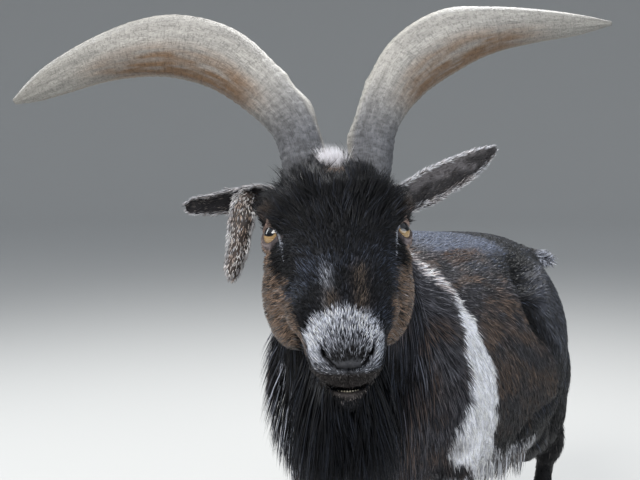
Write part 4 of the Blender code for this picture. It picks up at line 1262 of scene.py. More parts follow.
def make_lashes(skin):
    def inside(points):
        found = np.zeros(len(points), bool)
        for side in (-1, 1):
            distance, radius, local = lid_distance(points, side)
            upper = local[:, 1] > LID_OPENING[3] + 0.002
            found |= (np.abs(distance - 0.0008) < 0.0009) & upper & (radius < EYE_RADIUS + 0.004)
        return found

    coat = SkinCoat(skin.data, inside, count=110, seed=35)
    q = to_head(coat.root)
    side = np.sign(q[:, 0])
    lie = turn_from_head(columns(side, 0.5, 0.3) + coat.draw.normal(0, 0.2, q.shape))
    black = np.tile(BLACK, (coat.count, 1))
    bend = turn_from_head(np.tile((0.0, 0.0, 0.5), (coat.count, 1)))
    length, width = coat.vary(0.003, 0.0060), coat.vary(0.00015, 0.00028)
    return grow("lashes", coat, lie, length, width, 0.9, bend, (black, black * 1.5), head_unwrap, 3)


def face_lie(q):
    """The way the hair of the face lies, in the head's axes."""
    side = np.sign(q[:, 0])
    front = step(np.abs(q[:, 0]), 0.044, 0.026) * step(q[:, 1], -0.02, 0.02)
    spread = columns(q[:, 0] * 26, -0.3, 0.9)
    cheek = columns(side * 0.25, -0.85, -0.35)
    lie = mix(cheek, spread, front)
    low = step(q[:, 2], -0.092, -0.104)
    lips = columns(q[:, 0] * 30, -0.2, -0.9)
    return mix(lie, lips, low)


class SkinCoat(Coat):
    """Hair of the skin, combed over it."""

    def __init__(self, mesh, inside, count, seed, density=None):
        super().__init__(mesh, inside, count, seed, density)
        if mesh.name not in SURFACES:
            SURFACES[mesh.name] = surface_of(mesh)
        self.surface = SURFACES[mesh.name]


SURFACES = {}


def make_head_coat(skin):
    pieces = []
    for label, sign, seed in (("left", 1, 21), ("right", -1, 22)):
        def inside(points, sign=sign):
            q = to_head(points)
            return is_head(points) * (q[:, 0] * sign > 0)

        def density(points):
            q = to_head(points)
            dense = 1.0 + 2.2 * step(q[:, 1], 0.055, 0.075) + 0.6 * step(q[:, 1], 0.0, 0.03)
            return dense * clear_of_features(points)

        coat = SkinCoat(skin.data, inside, 15500, seed, density)
        q = to_head(coat.root)
        lie = turn_from_head(face_lie(q) + coat.draw.normal(0, 0.16, q.shape))
        muzzle = step(q[:, 1], 0.050, 0.075)
        crown = step(q[:, 2], 0.004, 0.020)
        under = step(q[:, 2], -0.100, -0.115) * step(q[:, 1], 0.07, 0.02)
        near = step(np.minimum(pad_reach(q), 2.2), 2.0, 1.0) * (q[:, 1] > 0.08)
        cheek = step(np.abs(q[:, 0]), 0.036, 0.046) * step(q[:, 2], 0.0, -0.015)
        lip = step(q[:, 2], -0.090, -0.098) * muzzle
        length = 0.0082 - 0.0030 * muzzle + 0.004 * crown + 0.006 * under
        length = length - 0.0020 * near + 0.0025 * cheek - 0.0025 * lip
        eyes = eye_gap(coat.root)
        length = length * coat.vary(0.75, 1.25) * (1 - 0.68 * step(eyes, 0.017, 0.006))
        width = (0.00072 - 0.00026 * muzzle) * coat.vary(0.8, 1.2)
        lift = 0.20 + 0.18 * muzzle + 0.10 * cheek + coat.vary(-0.08, 0.10)
        bend = -coat.normal * 0.20
        colours = tuft_colours(coat, 0.60, 0.32, 1.35)
        name = "face_coat_" + label
        piece = grow(name, coat, lie, length, width, lift, bend, colours, head_unwrap, 2, 0.30, 0.12, 0.0026)
        pieces.append(piece)
    for make in (make_forelock, make_poll, make_beard, make_tear_lines, make_lashes):
        pieces.append(make(skin))
    return [("head_coat", piece) for piece in pieces]


def make_forelock(skin):
    def inside(points):
        q = to_head(points)
        high = (q[:, 2] > 0.006) & (np.abs(q[:, 0]) < 0.066) & (q[:, 1] > -0.060) & is_head(points)
        return high * clear_of_features(points)

    coat = SkinCoat(skin.data, inside, count=6200, seed=31)
    q = to_head(coat.root)
    lie = columns(q[:, 0] * 0.85, -0.010, q[:, 2] + 0.026)
    lie = turn_from_head(unit(lie) + coat.draw.normal(0, 0.20, q.shape))
    length = 0.009 + 0.012 * step(q[:, 2], -0.006, 0.014) + 0.013 * step(q[:, 2], 0.008, 0.032)
    length *= coat.vary(0.7, 1.2)
    length *= 1 - 0.45 * step(np.abs(q[:, 0]), 0.036, 0.052)
    length *= 1 - 0.55 * step(np.abs(q[:, 0]), 0.018, 0.010) * step(q[:, 2], 0.024, 0.036)
    bend = turn_from_head(columns(q[:, 0] * 8, -0.45, -0.25))
    base, fleck, share = markings(coat.root)
    fleck = np.minimum(fleck, SOFT_GREY)
    colours = blend_colours(coat, base, fleck, np.minimum(share, 0.14), 0.7, 0.3, 1.3)
    lift = coat.vary(0.26, 0.56) * (0.55 + 0.45 * step(q[:, 2], 0.0, 0.02))
    width = coat.vary(0.0007, 0.0013)
    return grow("forelock", coat, lie, length, width, lift, bend, colours, head_unwrap, 3, 0.62, 0.05)


def make_poll(skin):
    def inside(points):
        q = to_head(points)
        middle = (np.hypot((q[:, 0] - 0.0015) / 0.0095, (q[:, 1] + 0.030) / 0.026) < 1) & (q[:, 2] > 0.030)
        foot = (np.hypot((q[:, 0] - 0.0015) / 0.0085, (q[:, 1] - 0.008) / 0.014) < 1) & (q[:, 2] > 0.050)
        wisp = np.linalg.norm(q - (0.0470, 0.016, 0.047), axis=1) < 0.010
        return middle | foot | wisp

    coat = SkinCoat(skin.data, inside, count=1300, seed=32)
    q = to_head(coat.root)
    wisp = q[:, 0] > 0.03
    foot = (q[:, 1] > -0.006) & ~wisp
    sway = np.where(wisp, 0.9, q[:, 0] * 30 - 0.35)
    lie = columns(sway, np.where(foot, -0.2, -0.1), np.where(foot, 0.6, 1.2))
    lie = turn_from_head(lie + coat.draw.normal(0, np.where(wisp, 0.45, 0.30)[:, None], q.shape))
    bend = turn_from_head(columns(q[:, 0] * 10, -0.1, 0.1))
    white = mix(np.tile(WHITE, (coat.count, 1)), TAN, coat.draw.random(coat.count) * 0.25)
    white = mix(white, TAN * 0.8, foot * 0.9)
    length = coat.vary(0.010, 0.026) * np.where(foot, 0.60, 1.0) + 0.016 * wisp
    colours = (mix(white, TAN, 0.35), white * 1.1)
    lift = np.where(foot, 0.35, coat.vary(0.9, 2.2))
    width = coat.vary(0.0003, 0.0006) * np.where(wisp, 1.6, 1.0)
    return grow("poll_tuft", coat, lie, length, width, lift, bend, colours, head_unwrap, 4, 0.45, 0.08)


def make_beard(skin):
    def inside(points):
        q = to_head(points)
        under = q[:, 2] < -0.112 + 0.28 * np.maximum(0.07 - q[:, 1], 0)
        middle = (q[:, 1] > 0.004) & (q[:, 1] < 0.086) & (np.abs(q[:, 0]) < 0.032)
        return middle & under & is_head(points)

    coat = SkinCoat(skin.data, inside, count=2600, seed=33)
    q = to_head(coat.root)
    down = columns(q[:, 0] * 6, 0.0, -1.0) + coat.draw.normal(0, 0.10, q.shape)
    coat.normal = turn_from_head(unit(down))
    lie = turn_from_head(columns(q[:, 0] * 30, 1.0, 0.0) + coat.draw.normal(0, 1.0, q.shape))
    reach = np.interp(q[:, 1], [0.005, 0.028, 0.047, 0.066, 0.084], [0.070, 0.100, 0.115, 0.085, 0.030])
    length = reach * coat.vary(0.55, 1.08)
    bend = turn_from_head(coat.draw.normal(0, 0.12, q.shape) + (0, 0, -0.6))
    colour = mix(BLACK * 0.9, BLUE_GREY, coat.draw.random(coat.count) ** 3 * 0.35)
    colours = (colour * 0.8, colour * 1.3)
    width = coat.vary(0.0010, 0.0018)
    return grow("beard", coat, lie, length, width, 6.0, bend, colours, head_unwrap, 4, 0.55, 0.04)


def body_lie(p):
    """The way the hair of the body lies: back along the back, down the sides, legs and chest."""
    back = step(p[:, 2], 0.36, 0.47)
    lie = columns(0.0, 0.45 + 0.75 * back, -0.85 + 0.70 * back)
    rump = step(p[:, 1], 0.36, 0.44)
    lie = mix(lie, (0.0, 0.25, -1.0), rump)
    streak = step(p[:, 2], 0.425, 0.445) * step(p[:, 1], 0.01, -0.03)
    lie = mix(lie, (0.0, 0.80, -0.50), streak)
    chest = step(p[:, 1], -0.06, -0.12) * (1 - streak)
    lie = mix(lie, (0.0, 0.12, -1.0), chest)
    neck = step(p[:, 2] - 0.5 * np.maximum(-p[:, 1] - 0.05, 0), 0.38, 0.44)
    neck = neck * step(p[:, 1], -0.05, -0.10) * (1 - streak)
    lie = mix(lie, (0.0, 0.55, -0.65), neck)
    belly = step(p[:, 2], 0.25, 0.20)
    lie = mix(lie, (0.0, 0.75, -0.6), belly * step(p[:, 1], -0.06, 0.0) * step(p[:, 1], 0.34, 0.28))
    return lie


def mane_share(p):
    """1 where the long hair of the neck and chest grows."""
    side = np.abs(p[:, 0] - 0.25 * np.maximum(-p[:, 1] - 0.08, 0))
    front = step(p[:, 1] + 0.55 * side, -0.040, -0.075)
    return front * step(p[:, 2], 0.185, 0.215) * step(p[:, 2] + 0.75 * (p[:, 1] + 0.05), 0.425, 0.385)


def make_body_coat(skin):
    pieces = []

    def body(points):
        return ~is_head(points) & (points[:, 2] > 0.205) & (points[:, 1] < 0.482)

    def trunk(points):
        return body(points) & (points[:, 1] > -0.06)

    def side(points):
        return trunk(points) & (points[:, 2] < 0.44)

    # Name, slot, number of tufts, height of the tips over the skin, and where it grows
    parts = (
        ("side_coat_left", "body_coat", 17000, 0.0065, lambda p: side(p) & (p[:, 0] > 0)),
        ("side_coat_right", "body_coat", 17000, 0.0065, lambda p: side(p) & (p[:, 0] < 0)),
        ("back_coat", "body_coat", 14500, 0.0035, lambda p: trunk(p) & (p[:, 2] >= 0.44)),
        ("neck_coat", "neck_coat", 13500, 0.0065, lambda p: body(p) & (p[:, 1] <= -0.06)),
    )
    for k, (name, slot, count, hug, inside) in enumerate(parts):
        coat = SkinCoat(skin.data, inside, count, 41 + k)
        p = coat.root
        lie = body_lie(p) + coat.draw.normal(0, 0.12, p.shape)
        belly = step(p[:, 2], 0.25, 0.21) * step(p[:, 1], 0.270, 0.245)
        shoulder = step(p[:, 1], -0.02, -0.06)
        length = (0.0138 + 0.018 * belly + 0.006 * shoulder) * coat.vary(0.75, 1.25)
        width = (0.0011 + 0.0004 * belly) * coat.vary(0.75, 1.25)
        lift = 0.20 + 0.10 * belly + coat.vary(-0.06, 0.08)
        bend = -coat.normal * 0.20 + np.array((0, 0, -0.12))
        colours = tuft_colours(coat, 0.85, 0.25, 1.15)
        piece = grow(name, coat, lie, length, width, lift, bend, colours, body_unwrap, 2, 0.30, 0.12, hug)
        pieces.append((slot, piece))
    coat = SkinCoat(skin.data, lambda p: body(p) * mane_share(p), count=7000, seed=51)
    p = coat.root
    lie = np.tile((0.0, 0.10, -1.0), (coat.count, 1)) + coat.draw.normal(0, 0.10, p.shape)
    length = np.interp(p[:, 2], [0.20, 0.26, 0.32, 0.40, 0.47], [0.040, 0.060, 0.080, 0.085, 0.070])
    aside = step(np.abs(p[:, 0]), 0.05, 0.085)
    length = length * (1 - 0.35 * aside) * coat.vary(0.6, 1.1)
    length = np.where(markings(p)[0][:, 0] > 0.3, 0.028, length)
    bend = np.array((0, 0, -0.9)) - coat.normal * 0.10
    base, fleck, share = markings(p)
    colours = blend_colours(coat, base, fleck, share, 0.75, 0.3, 1.25)
    lift = coat.vary(0.14, 0.34) + 0.14 * step(p[:, 0], -0.045, -0.075)
    width = coat.vary(0.0011, 0.0020)
    piece = grow("mane", coat, lie, length, width, lift, bend, colours, body_unwrap, 4, 0.35, 0.08)
    pieces.append(("neck_coat", piece))

    def on_belly(p):
        return (p[:, 2] < 0.226) & (p[:, 1] > -0.03) & (p[:, 1] < 0.190) & (p[:, 2] > 0.15)

    belly = SkinCoat(skin.data, on_belly, count=2700, seed=52)
    p = belly.root
    lie = np.tile((0.0, 0.30, -0.90), (belly.count, 1)) + belly.draw.normal(0, 0.16, p.shape)
    length = belly.vary(0.024, 0.050) + 0.012 * step(p[:, 1], 0.05, 0.10)
    colours = tuft_colours(belly, 0.85, 0.2, 1.1)
    width, lift = belly.vary(0.0014, 0.0022), belly.vary(0.3, 0.6)
    bend = np.array((0, 0.1, -0.3))
    piece = grow("belly_coat", belly, lie, length, width, lift, bend, colours, body_unwrap, 3, 0.5, 0.06)
    pieces.append(("body_coat", piece))

    def on_legs(p):
        return (p[:, 2] < 0.225) & (p[:, 2] > FOOT_HEIGHT + 0.001) & ((p[:, 1] < 0.09) | (p[:, 1] > 0.27))

    legs = SkinCoat(skin.data, on_legs, count=5800, seed=53)
    p = legs.root
    lie = np.tile((0.0, 0.12, -1.0), (legs.count, 1)) + legs.draw.normal(0, 0.10, p.shape)
    length = (0.008 + 0.008 * step(p[:, 2], 0.10, 0.20)) * legs.vary(0.75, 1.25)
    length = np.minimum(length, np.maximum(p[:, 2] - 0.026, 0.003))
    colours = tuft_colours(legs, 0.85, 0.25, 1.15)
    width, lift = legs.vary(0.0010, 0.0015), 0.20 + legs.vary(-0.05, 0.06)
    bend = -legs.normal * 0.12
    piece = grow("leg_coat", legs, lie, length, width, lift, bend, colours, leg_unwrap, 2, 0.3, 0.10)
    pieces.append(("leg_coat", piece))

    def on_tail(p):
        return (p[:, 1] > 0.470) & (p[:, 2] > 0.37) & ((p[:, 0] > 0.004) | (p[:, 1] > 0.478))

    def towards_tip(p):
        return 0.4 + 1.6 * step(p[:, 0], 0.045, 0.060)

    tail = SkinCoat(skin.data, on_tail, count=1700, seed=54, density=towards_tip)
    p = tail.root
    along = unit(np.array((1.0, 0.35, -0.35)))
    tip = step(p[:, 0], 0.045, 0.062)
    lie = np.tile(along, (tail.count, 1)) + tail.draw.normal(0, 1, p.shape) * (0.16 + 0.30 * tip)[:, None]
    length = tail.vary(0.008, 0.012) + 0.005 * tip
    colours = tuft_colours(tail, 0.8, 0.25, 1.2)
    width, lift = tail.vary(0.0010, 0.0016), tail.vary(0.35, 0.6) + 0.9 * tip
    bend = np.array((0.1, 0.05, -0.15))
    piece = grow("tail_coat", tail, lie, length, width, lift, bend, colours, tail_unwrap, 4, 0.5, 0.06)
    pieces.append(("tail_coat", piece))
    return pieces


# Ears

def ear_mesh(name, rows, side, opening):
    rows = smooth_rows(rows, 8)
    centres = [HEAD @ Vector((side * row[0], row[1], row[2])) for row in rows]
    rings = []
    for i, row in enumerate(rows):
        along = centres[min(i + 1, len(rows) - 1)] - centres[max(i - 1, 0)]
        along.normalize()
        out = HEAD.to_3x3() @ Vector((side * opening[0], opening[1], opening[2]))
        out = (out - along * out.dot(along)).normalized()
        across = along.cross(out)
        thick = (EAR_THICKNESS - 0.0012) * min(1.0, row[3] / 0.006)
        back, front = [], []
        for s in np.linspace(-1, 1, EAR_POINTS):
            ripple = 0.0005 * math.sin(i * 0.55 + s * 3.0)
            point = centres[i] + across * (row[3] * s) - out * (row[4] * (1 - s * s) + ripple)
            back.append(point)
            front.append(point + out * (thick * (1 - 0.6 * s * s)))
        rings.append(back + front[::-1])
    return loft(name, rings)


def ear_coat(name, mesh_obj, rows, side, opening, count, seed, fringe, outer, inner_colour, paler):
    centre = from_head(np.array([(side * r[0], r[1], r[2]) for r in smooth_rows(rows, 8)]))
    half = smooth_rows(rows, 8)[:, 3]
    face = unit(turn_from_head(np.array([(side * opening[0], opening[1], opening[2])])))[0]

    def facts(points):
        """The nearest station of each point, the ear's way there, and the place across it from -1 to 1."""
        at = np.argmin(((points[:, None] - centre[None]) ** 2).sum(2), 1)
        along = unit(centre[np.minimum(at + 1, len(centre) - 1)] - centre[np.maximum(at - 1, 0)])
        across = unit(np.cross(along, face))
        return at, along, dot(points - centre[at], across) / np.maximum(half[at], 1e-4)

    def density(points):
        return 0.6 + 2.4 * step(np.abs(facts(points)[2]), 0.7, 0.95)

    coat = Coat(mesh_obj.data, lambda p: np.ones(len(p)), count, seed, density)
    at, along, place = facts(coat.root)
    share = at / (len(centre) - 1)
    rim = step(np.abs(place), 0.72, 0.92)
    inner = step(dot(coat.normal, face), -0.1, 0.3)
    lie = along + coat.draw.normal(0, 0.22, coat.root.shape)
    length = (0.0045 + 0.0020 * rim) * coat.vary(0.7, 1.3)
    length = np.minimum(length, 0.010 * (1.15 - share) + 0.0025)
    outside = mix(outer, TAN * (0.8 + paler), step(noise(coat.root, 0.009, 9), 0.45, 0.70) * 0.8)
    upwards = turn_from_head(np.array([(0.0, 0.0, 1.0)]))[0]
    # The inside of the ear: mottled, and paler higher up with painted shade low in the cup
    high = np.clip(dot(coat.root - centre[at], upwards) / 0.012, -1, 1)
    mottling_and_shade = step(noise(coat.root, 0.007, 19) + 0.35 * high, 0.30, 0.75)
    base = mix(outside, mix(inner_colour, np.array(inner_colour) * 3.2, mottling_and_shade * paler), inner * (1 - rim))
    base = mix(base, WHITE * 0.8, rim * fringe)
    fleck = mix(WHITE * 0.6, GRIZZLE * 1.3, inner)
    colours = blend_colours(coat, base, fleck, 0.26 + 0 * share, 0.8, 0.3, 1.2)

    def unwrap(points):
        at, _, place = facts(points)
        lane = np.where(dot(points - centre[at], face) > -0.2 * half[at], 0.0, 0.5)
        return columns(at / (len(centre) - 1), lane + 0.25 + np.clip(place, -1, 1) * 0.22)

    lift, bend = 0.22 + 0.25 * rim, -coat.normal * 0.1
    width = coat.vary(0.0006, 0.0010)
    return grow(name, coat, lie, length, width, lift, bend, colours, unwrap, 2, 0.3, 0.1)


def ear_skin_tint(mesh, rows, side, opening, colour, paler):
    points, normals = points_of(mesh), normals_of(mesh)
    q = to_head(points)
    middle = np.interp(side * q[:, 0], *np.array(rows)[:, (0, 2)].T)
    # The inside of the ear: mottled, and paler higher up with painted shade low in the cup
    high = np.clip((q[:, 2] - middle) / 0.012, -1, 1)
    mottling_and_shade = step(noise(points, 0.007, 19) + 0.35 * high, 0.30, 0.75) * paler
    face = unit(turn_from_head(np.array([(side * opening[0], opening[1], opening[2])])))[0]
    inner = step(dot(normals, face), -0.1, 0.3)
    outside = mix(GRIZZLE * 0.7, RUSSET, noise(points, 0.015, 9) * 0.4)
    set_tint(mesh, mix(outside, mix(np.array(colour) * 0.7, np.array(colour) * 2.4, mottling_and_shade), inner))


# Horns, hooves, eyes and teeth

HORN_FOCUS = (0.185, 0.010)
RINGS = 42


def make_horn(name, rows, side, seed, knob_place):
    rows = [(side * out, forward, up, thick, deep) for out, forward, up, deep, thick in rows]
    stations = smooth_rows(rows, 20)
    sides = 72
    centres = from_head(stations[:, :3])
    run = np.concatenate([[0], np.cumsum(np.linalg.norm(np.diff(centres, axis=0), axis=1))])
    share = run / run[-1]
    thin = turn_from_head(np.array([(0.0, 1.0, 0.0)]))[0]
    rings, grain, tints = [], [], []
    draw = np.random.default_rng(seed)
    marks = np.cumsum(draw.uniform(0.6, 1.4, RINGS))
    marks = marks / marks[-1] * 0.97
    strength = draw.uniform(0.4, 1.0, RINGS)
    for i, row in enumerate(stations):
        along = unit(centres[min(i + 1, len(centres) - 1)] - centres[max(i - 1, 0)])
        across = unit(thin - along * thin.dot(along))
        deep = np.cross(across, along)
        outward = (row[0] - side * HORN_FOCUS[0], 0.0, row[2] - HORN_FOCUS[1])
        outward = turn_from_head(np.array([outward]))[0]
        if deep @ outward < 0:
            deep = -deep
        angle = 2 * math.pi * (np.arange(sides) + 0.5) / sides
        c, s = np.cos(angle), np.sin(angle)
        keel = np.exp(-(((angle - math.pi / 2) / 0.28) ** 2))
        wide = row[3] * np.sign(c) * np.abs(c) ** (2 / 2.3)
        reach = columns(wide, row[4] * np.sign(s) * np.abs(s) ** (2 / 2.2))
        gap = share[i] - marks
        ring = np.exp(-((gap / 0.0045) ** 2)) - 0.7 * np.exp(-(((gap - 0.008) / 0.004) ** 2))
        ring = (strength * ring).sum()
        knob = 0.0030 * math.exp(-(((share[i] - knob_place) / 0.030) ** 2))
        knob += 0.0012 * math.exp(-(((share[i] - 0.30) / 0.02) ** 2))
        height = ring * (0.00055 - 0.00020 * keel) * (1 - 0.8 * share[i])
        height = height + keel * (knob + 0.0010 * (1 - share[i]))
        spot = columns(run[i] * 12, c * 9, s * 9)
        fibre = (noise(spot + side * 7, 1.0, 11) - 0.5) * 0.0008
        fibre = fibre + (noise(spot * (0.5, 3, 3), 1.0, 12) - 0.5) * 0.0005
        fade = min(1.0, (1 - share[i]) * 8)
        size = 1 + (height + fibre * fade)[:, None] / np.maximum(row[3], 0.004)
        points = centres[i] + (across[None] * reach[:, :1] + deep[None] * reach[:, 1:]) * size
        rings.append([Vector(point) for point in points])
        grain.append(columns(run[i], c, s))
        tints.append(horn_colour(share[i], run[i], c, s, ring, side))
    made = loft(name, rings)
    points = points_of(made.data)
    flat = np.concatenate([np.array([tuple(v) for v in ring]) for ring in rings])
    flat = flat.astype(np.float32).astype(float)
    places = {tuple(np.round(point, 6)): k for k, point in enumerate(flat)}
    order = np.array([places.get(tuple(np.round(point, 6)), 0) for point in points])
    set_tint(made.data, np.concatenate(tints)[order])
    set_vectors(made.data, "grain", np.concatenate(grain)[order])
    return made


def horn_colour(share, run, c, s, ring, side):
    """Grey at the base, tan and grey along it, a russet stripe under the upper edge's flat side, a painted
    highlight along the upper edge, and painted shade along the lower edge and in the grooves behind the
    rings.
    """
    spot = columns(run * 30, c * 4, s * 7) + side * 3
    streak = noise(spot, 1.0, 13) * 0.6 + noise(spot * (2.5, 3, 3), 1.0, 14) * 0.4
    at = np.full(len(c), share)
    base = mix((0.118, 0.121, 0.134), (0.345, 0.332, 0.310), step(at, 0.14, 0.36))
    base = mix(base, (0.290, 0.280, 0.258), step(at, 0.60, 0.95) * 0.8)
    russet = step(s, 0.30, -0.35) * step(at, 0.22, 0.36) * step(at, 0.88, 0.66)
    base = mix(base, (0.140, 0.084, 0.047), russet * np.clip(1.7 * streak - 0.02, 0, 1))
    # Painted highlight: a pale band along the upper edge
    edge = np.exp(-(((s - 0.99) / 0.06) ** 2)) * step(at, 0.02, 0.10)
    base = mix(base, (0.420, 0.400, 0.360), edge * 0.65)
    # Painted shade: a darker, warmer band along the lower edge
    low = np.exp(-(((s + 0.99) / 0.06) ** 2)) * step(at, 0.3, 0.5)
    base = mix(base, (0.260, 0.220, 0.175), low * 0.5)
    base = base * (0.62 + 0.76 * streak)[:, None]
    ripple = noise(columns(run * 460, c * 5, s * 5) + side * 5, 1.0, 15)
    base = base * (1 - 0.32 * step(ripple, 0.56, 0.38) * step(at, 0.40, 0.16))[:, None]
    # Painted shade in the grooves behind the growth rings
    return base * (1 - 0.22 * np.clip(-ring, 0, 1))


def make_hoof(name, out, y, side, apart):
    rows = [(side * (out + apart), y + forward, *row) for forward, *row in CLAW]
    rows[0] = (rows[0][0], rows[0][1], 0.0400, 0.0088, 0.0150, 0.0135, 2.2)
    stations = smooth_rows(rows, 10)
    rings = []
    sides = 40
    for row in stations:
        middle = Vector(row[:3])
        ring = section(middle, Vector((-1, 0, 0)), Vector((0, -1, 0)), row[3:7], sides)
        wave = 0.00022 * math.sin(row[2] * 2100) * step(np.array(row[2]), 0.002, 0.006)
        rings.append([point + (point - middle).normalized() * float(wave) for point in ring])
    made = loft(name, rings)
    points = points_of(made.data)
    streak = noise(points * (1, 1, 0.12), 0.0022, 15)
    colour = mix((0.030, 0.027, 0.025), (0.115, 0.095, 0.078), step(streak, 0.45, 0.85))
    colour = mix(colour, (0.160, 0.140, 0.115), step(points[:, 2], 0.027, 0.034) * 0.6)
    colour = mix(colour, (0.100, 0.088, 0.075), step(points[:, 2], 0.004, 0.0))
    set_tint(made.data, colour)
    return made


def make_eye(name, side):
    shape = bmesh.new()
    bmesh.ops.create_uvsphere(shape, u_segments=64, v_segments=48, radius=EYE_RADIUS - 0.0002)
    for v in shape.verts:
        flat = math.hypot(v.co.x, v.co.y)
        if v.co.z > 0:
            v.co.z += 0.0011 * float(step(np.array(flat), 0.0088, 0.0))
    shape.verts.index_update()
    local = np.array([tuple(v.co) for v in shape.verts]) * (side, 1, 1)
    shape.transform(eye_axes(side))
    made = link(name, shape)
    set_vectors(made.data, "spot", local)
    shade_smooth(made.data)
    return made


TOOTH_ROW = (0.0086, 0.0868, -0.1158, 0.0028)  # half width, forward, middle height and half height


def make_tooth_row():
    half_row, forward, middle, half_height = TOOTH_ROW
    shape = bmesh.new()
    for k in range(8):
        across = (-1 + (k + 0.5) / 4) * half_row
        back = forward - 30 * across * across
        part = bmesh.new()
        bmesh.ops.create_uvsphere(part, u_segments=16, v_segments=10, radius=1.0)
        height = half_height * (1 - 0.1 * abs(k - 3.5) / 3.5)
        size = Matrix.Diagonal((half_row / 8 * 0.97, 0.0011, height, 1.0))
        lean = Matrix.Rotation(-0.35, 4, "X")
        part.transform(HEAD @ Matrix.Translation((across, back, middle)) @ lean @ size)
        mesh = bpy.data.meshes.new("part")
        part.to_mesh(mesh)
        part.free()
        shape.from_mesh(mesh)
        bpy.data.meshes.remove(mesh)
    made = link("tooth_row", shape)
    shade_smooth(made.data)
    return made


# Materials

def new_material(name, roughness, specular=0.5):
    made = bpy.data.materials.new(name)
    made.use_nodes = True
    shader = made.node_tree.nodes["Principled BSDF"]
    shader.inputs["Roughness"].default_value = roughness
    shader.inputs["Specular IOR Level"].default_value = specular
    return made, made.node_tree, shader


def node(tree, kind, **settings):
    made = tree.nodes.new(kind)
    for key, value in settings.items():
        if key in made.inputs:
            made.inputs[key].default_value = value
        else:
            setattr(made, key, value)
    return made


def tint_of(tree, name="tint"):
    return node(tree, "ShaderNodeAttribute", attribute_name=name)


def add_bump(tree, shader, height, strength, distance):
    bump = node(tree, "ShaderNodeBump")
    bump.inputs["Strength"].default_value = strength
    bump.inputs["Distance"].default_value = distance
    tree.links.new(height, bump.inputs["Height"])
    tree.links.new(bump.outputs["Normal"], shader.inputs["Normal"])


def scaled_tint(tree, shader, factor_socket, low, high):
    """The tint made lighter and darker by a pattern."""
    ranged = node(tree, "ShaderNodeMapRange")
    ranged.inputs["To Min"].default_value = low
    ranged.inputs["To Max"].default_value = high
    tree.links.new(factor_socket, ranged.inputs["Value"])
    scale = node(tree, "ShaderNodeVectorMath", operation="SCALE")
    tree.links.new(tint_of(tree).outputs["Color"], scale.inputs[0])
    tree.links.new(ranged.outputs["Result"], scale.inputs["Scale"])
    tree.links.new(scale.outputs["Vector"], shader.inputs["Base Color"])


def object_noise(tree, **settings):
    """A noise pattern in the object's own space."""
    place = node(tree, "ShaderNodeTexCoord")
    made = node(tree, "ShaderNodeTexNoise", **settings)
    tree.links.new(place.outputs["Object"], made.inputs["Vector"])
    return made.outputs["Fac"]


def drawn_noise(tree, source, scales, **settings):
    """A noise pattern with a scale of its own for each axis."""
    stretch = node(tree, "ShaderNodeVectorMath", operation="MULTIPLY")
    stretch.inputs[1].default_value = scales
    tree.links.new(source, stretch.inputs[0])
    made = node(tree, "ShaderNodeTexNoise", Scale=1.0, **settings)
    tree.links.new(stretch.outputs["Vector"], made.inputs["Vector"])
    return made.outputs["Fac"]


def skin_material():
    made, tree, shader = new_material("goat_skin", 0.55, 0.14)
    hair = object_noise(tree, Scale=520.0, Detail=3.0, Roughness=0.6)
    scaled_tint(tree, shader, hair, 0.55, 1.45)
    add_bump(tree, shader, hair, 0.7, 0.0012)
    return made


def hair_material(name, roughness, specular):
    made, tree, shader = new_material(name, roughness, specular)
    scaled_tint(tree, shader, object_noise(tree, Scale=900.0, Detail=2.0), 0.75, 1.25)
    return made


def horn_material():
    made, tree, shader = new_material("goat_horn", 0.46, 0.4)
    grain = tint_of(tree, "grain").outputs["Vector"]
    fibre = drawn_noise(tree, grain, (150.0, 26.0, 26.0), Detail=5.0, Roughness=0.65)
    scratch = drawn_noise(tree, grain, (620.0, 7.0, 7.0), Detail=3.0, Roughness=0.7)
    pit = node(tree, "ShaderNodeMapRange", interpolation_type="SMOOTHSTEP")
    pit.inputs["From Min"].default_value = 0.34
    pit.inputs["From Max"].default_value = 0.52
    pit.inputs["To Min"].default_value = 0.55
    tree.links.new(scratch, pit.inputs["Value"])
    joined = node(tree, "ShaderNodeMath", operation="MULTIPLY")
    tree.links.new(fibre, joined.inputs[0])
    tree.links.new(pit.outputs["Result"], joined.inputs[1])
    scaled_tint(tree, shader, joined.outputs[0], 0.25, 2.00)
    add_bump(tree, shader, joined.outputs[0], 0.8, 0.0012)
    return made


def hoof_material():
    made, tree, shader = new_material("goat_hoof", 0.48, 0.4)
    place = node(tree, "ShaderNodeTexCoord")
    fibre = drawn_noise(tree, place.outputs["Object"], (700.0, 700.0, 90.0), Detail=3.0)
    scaled_tint(tree, shader, fibre, 0.65, 1.35)
    add_bump(tree, shader, fibre, 0.5, 0.0004)
    return made


# The pupil in the eye's own axes: how far to the side and up, its turn, half width and half height
PUPIL_PLACE = (-0.0014, 0.0050)
PUPIL_TURN = math.radians(8)
PUPIL_SIZE = (0.0082, 0.0038)


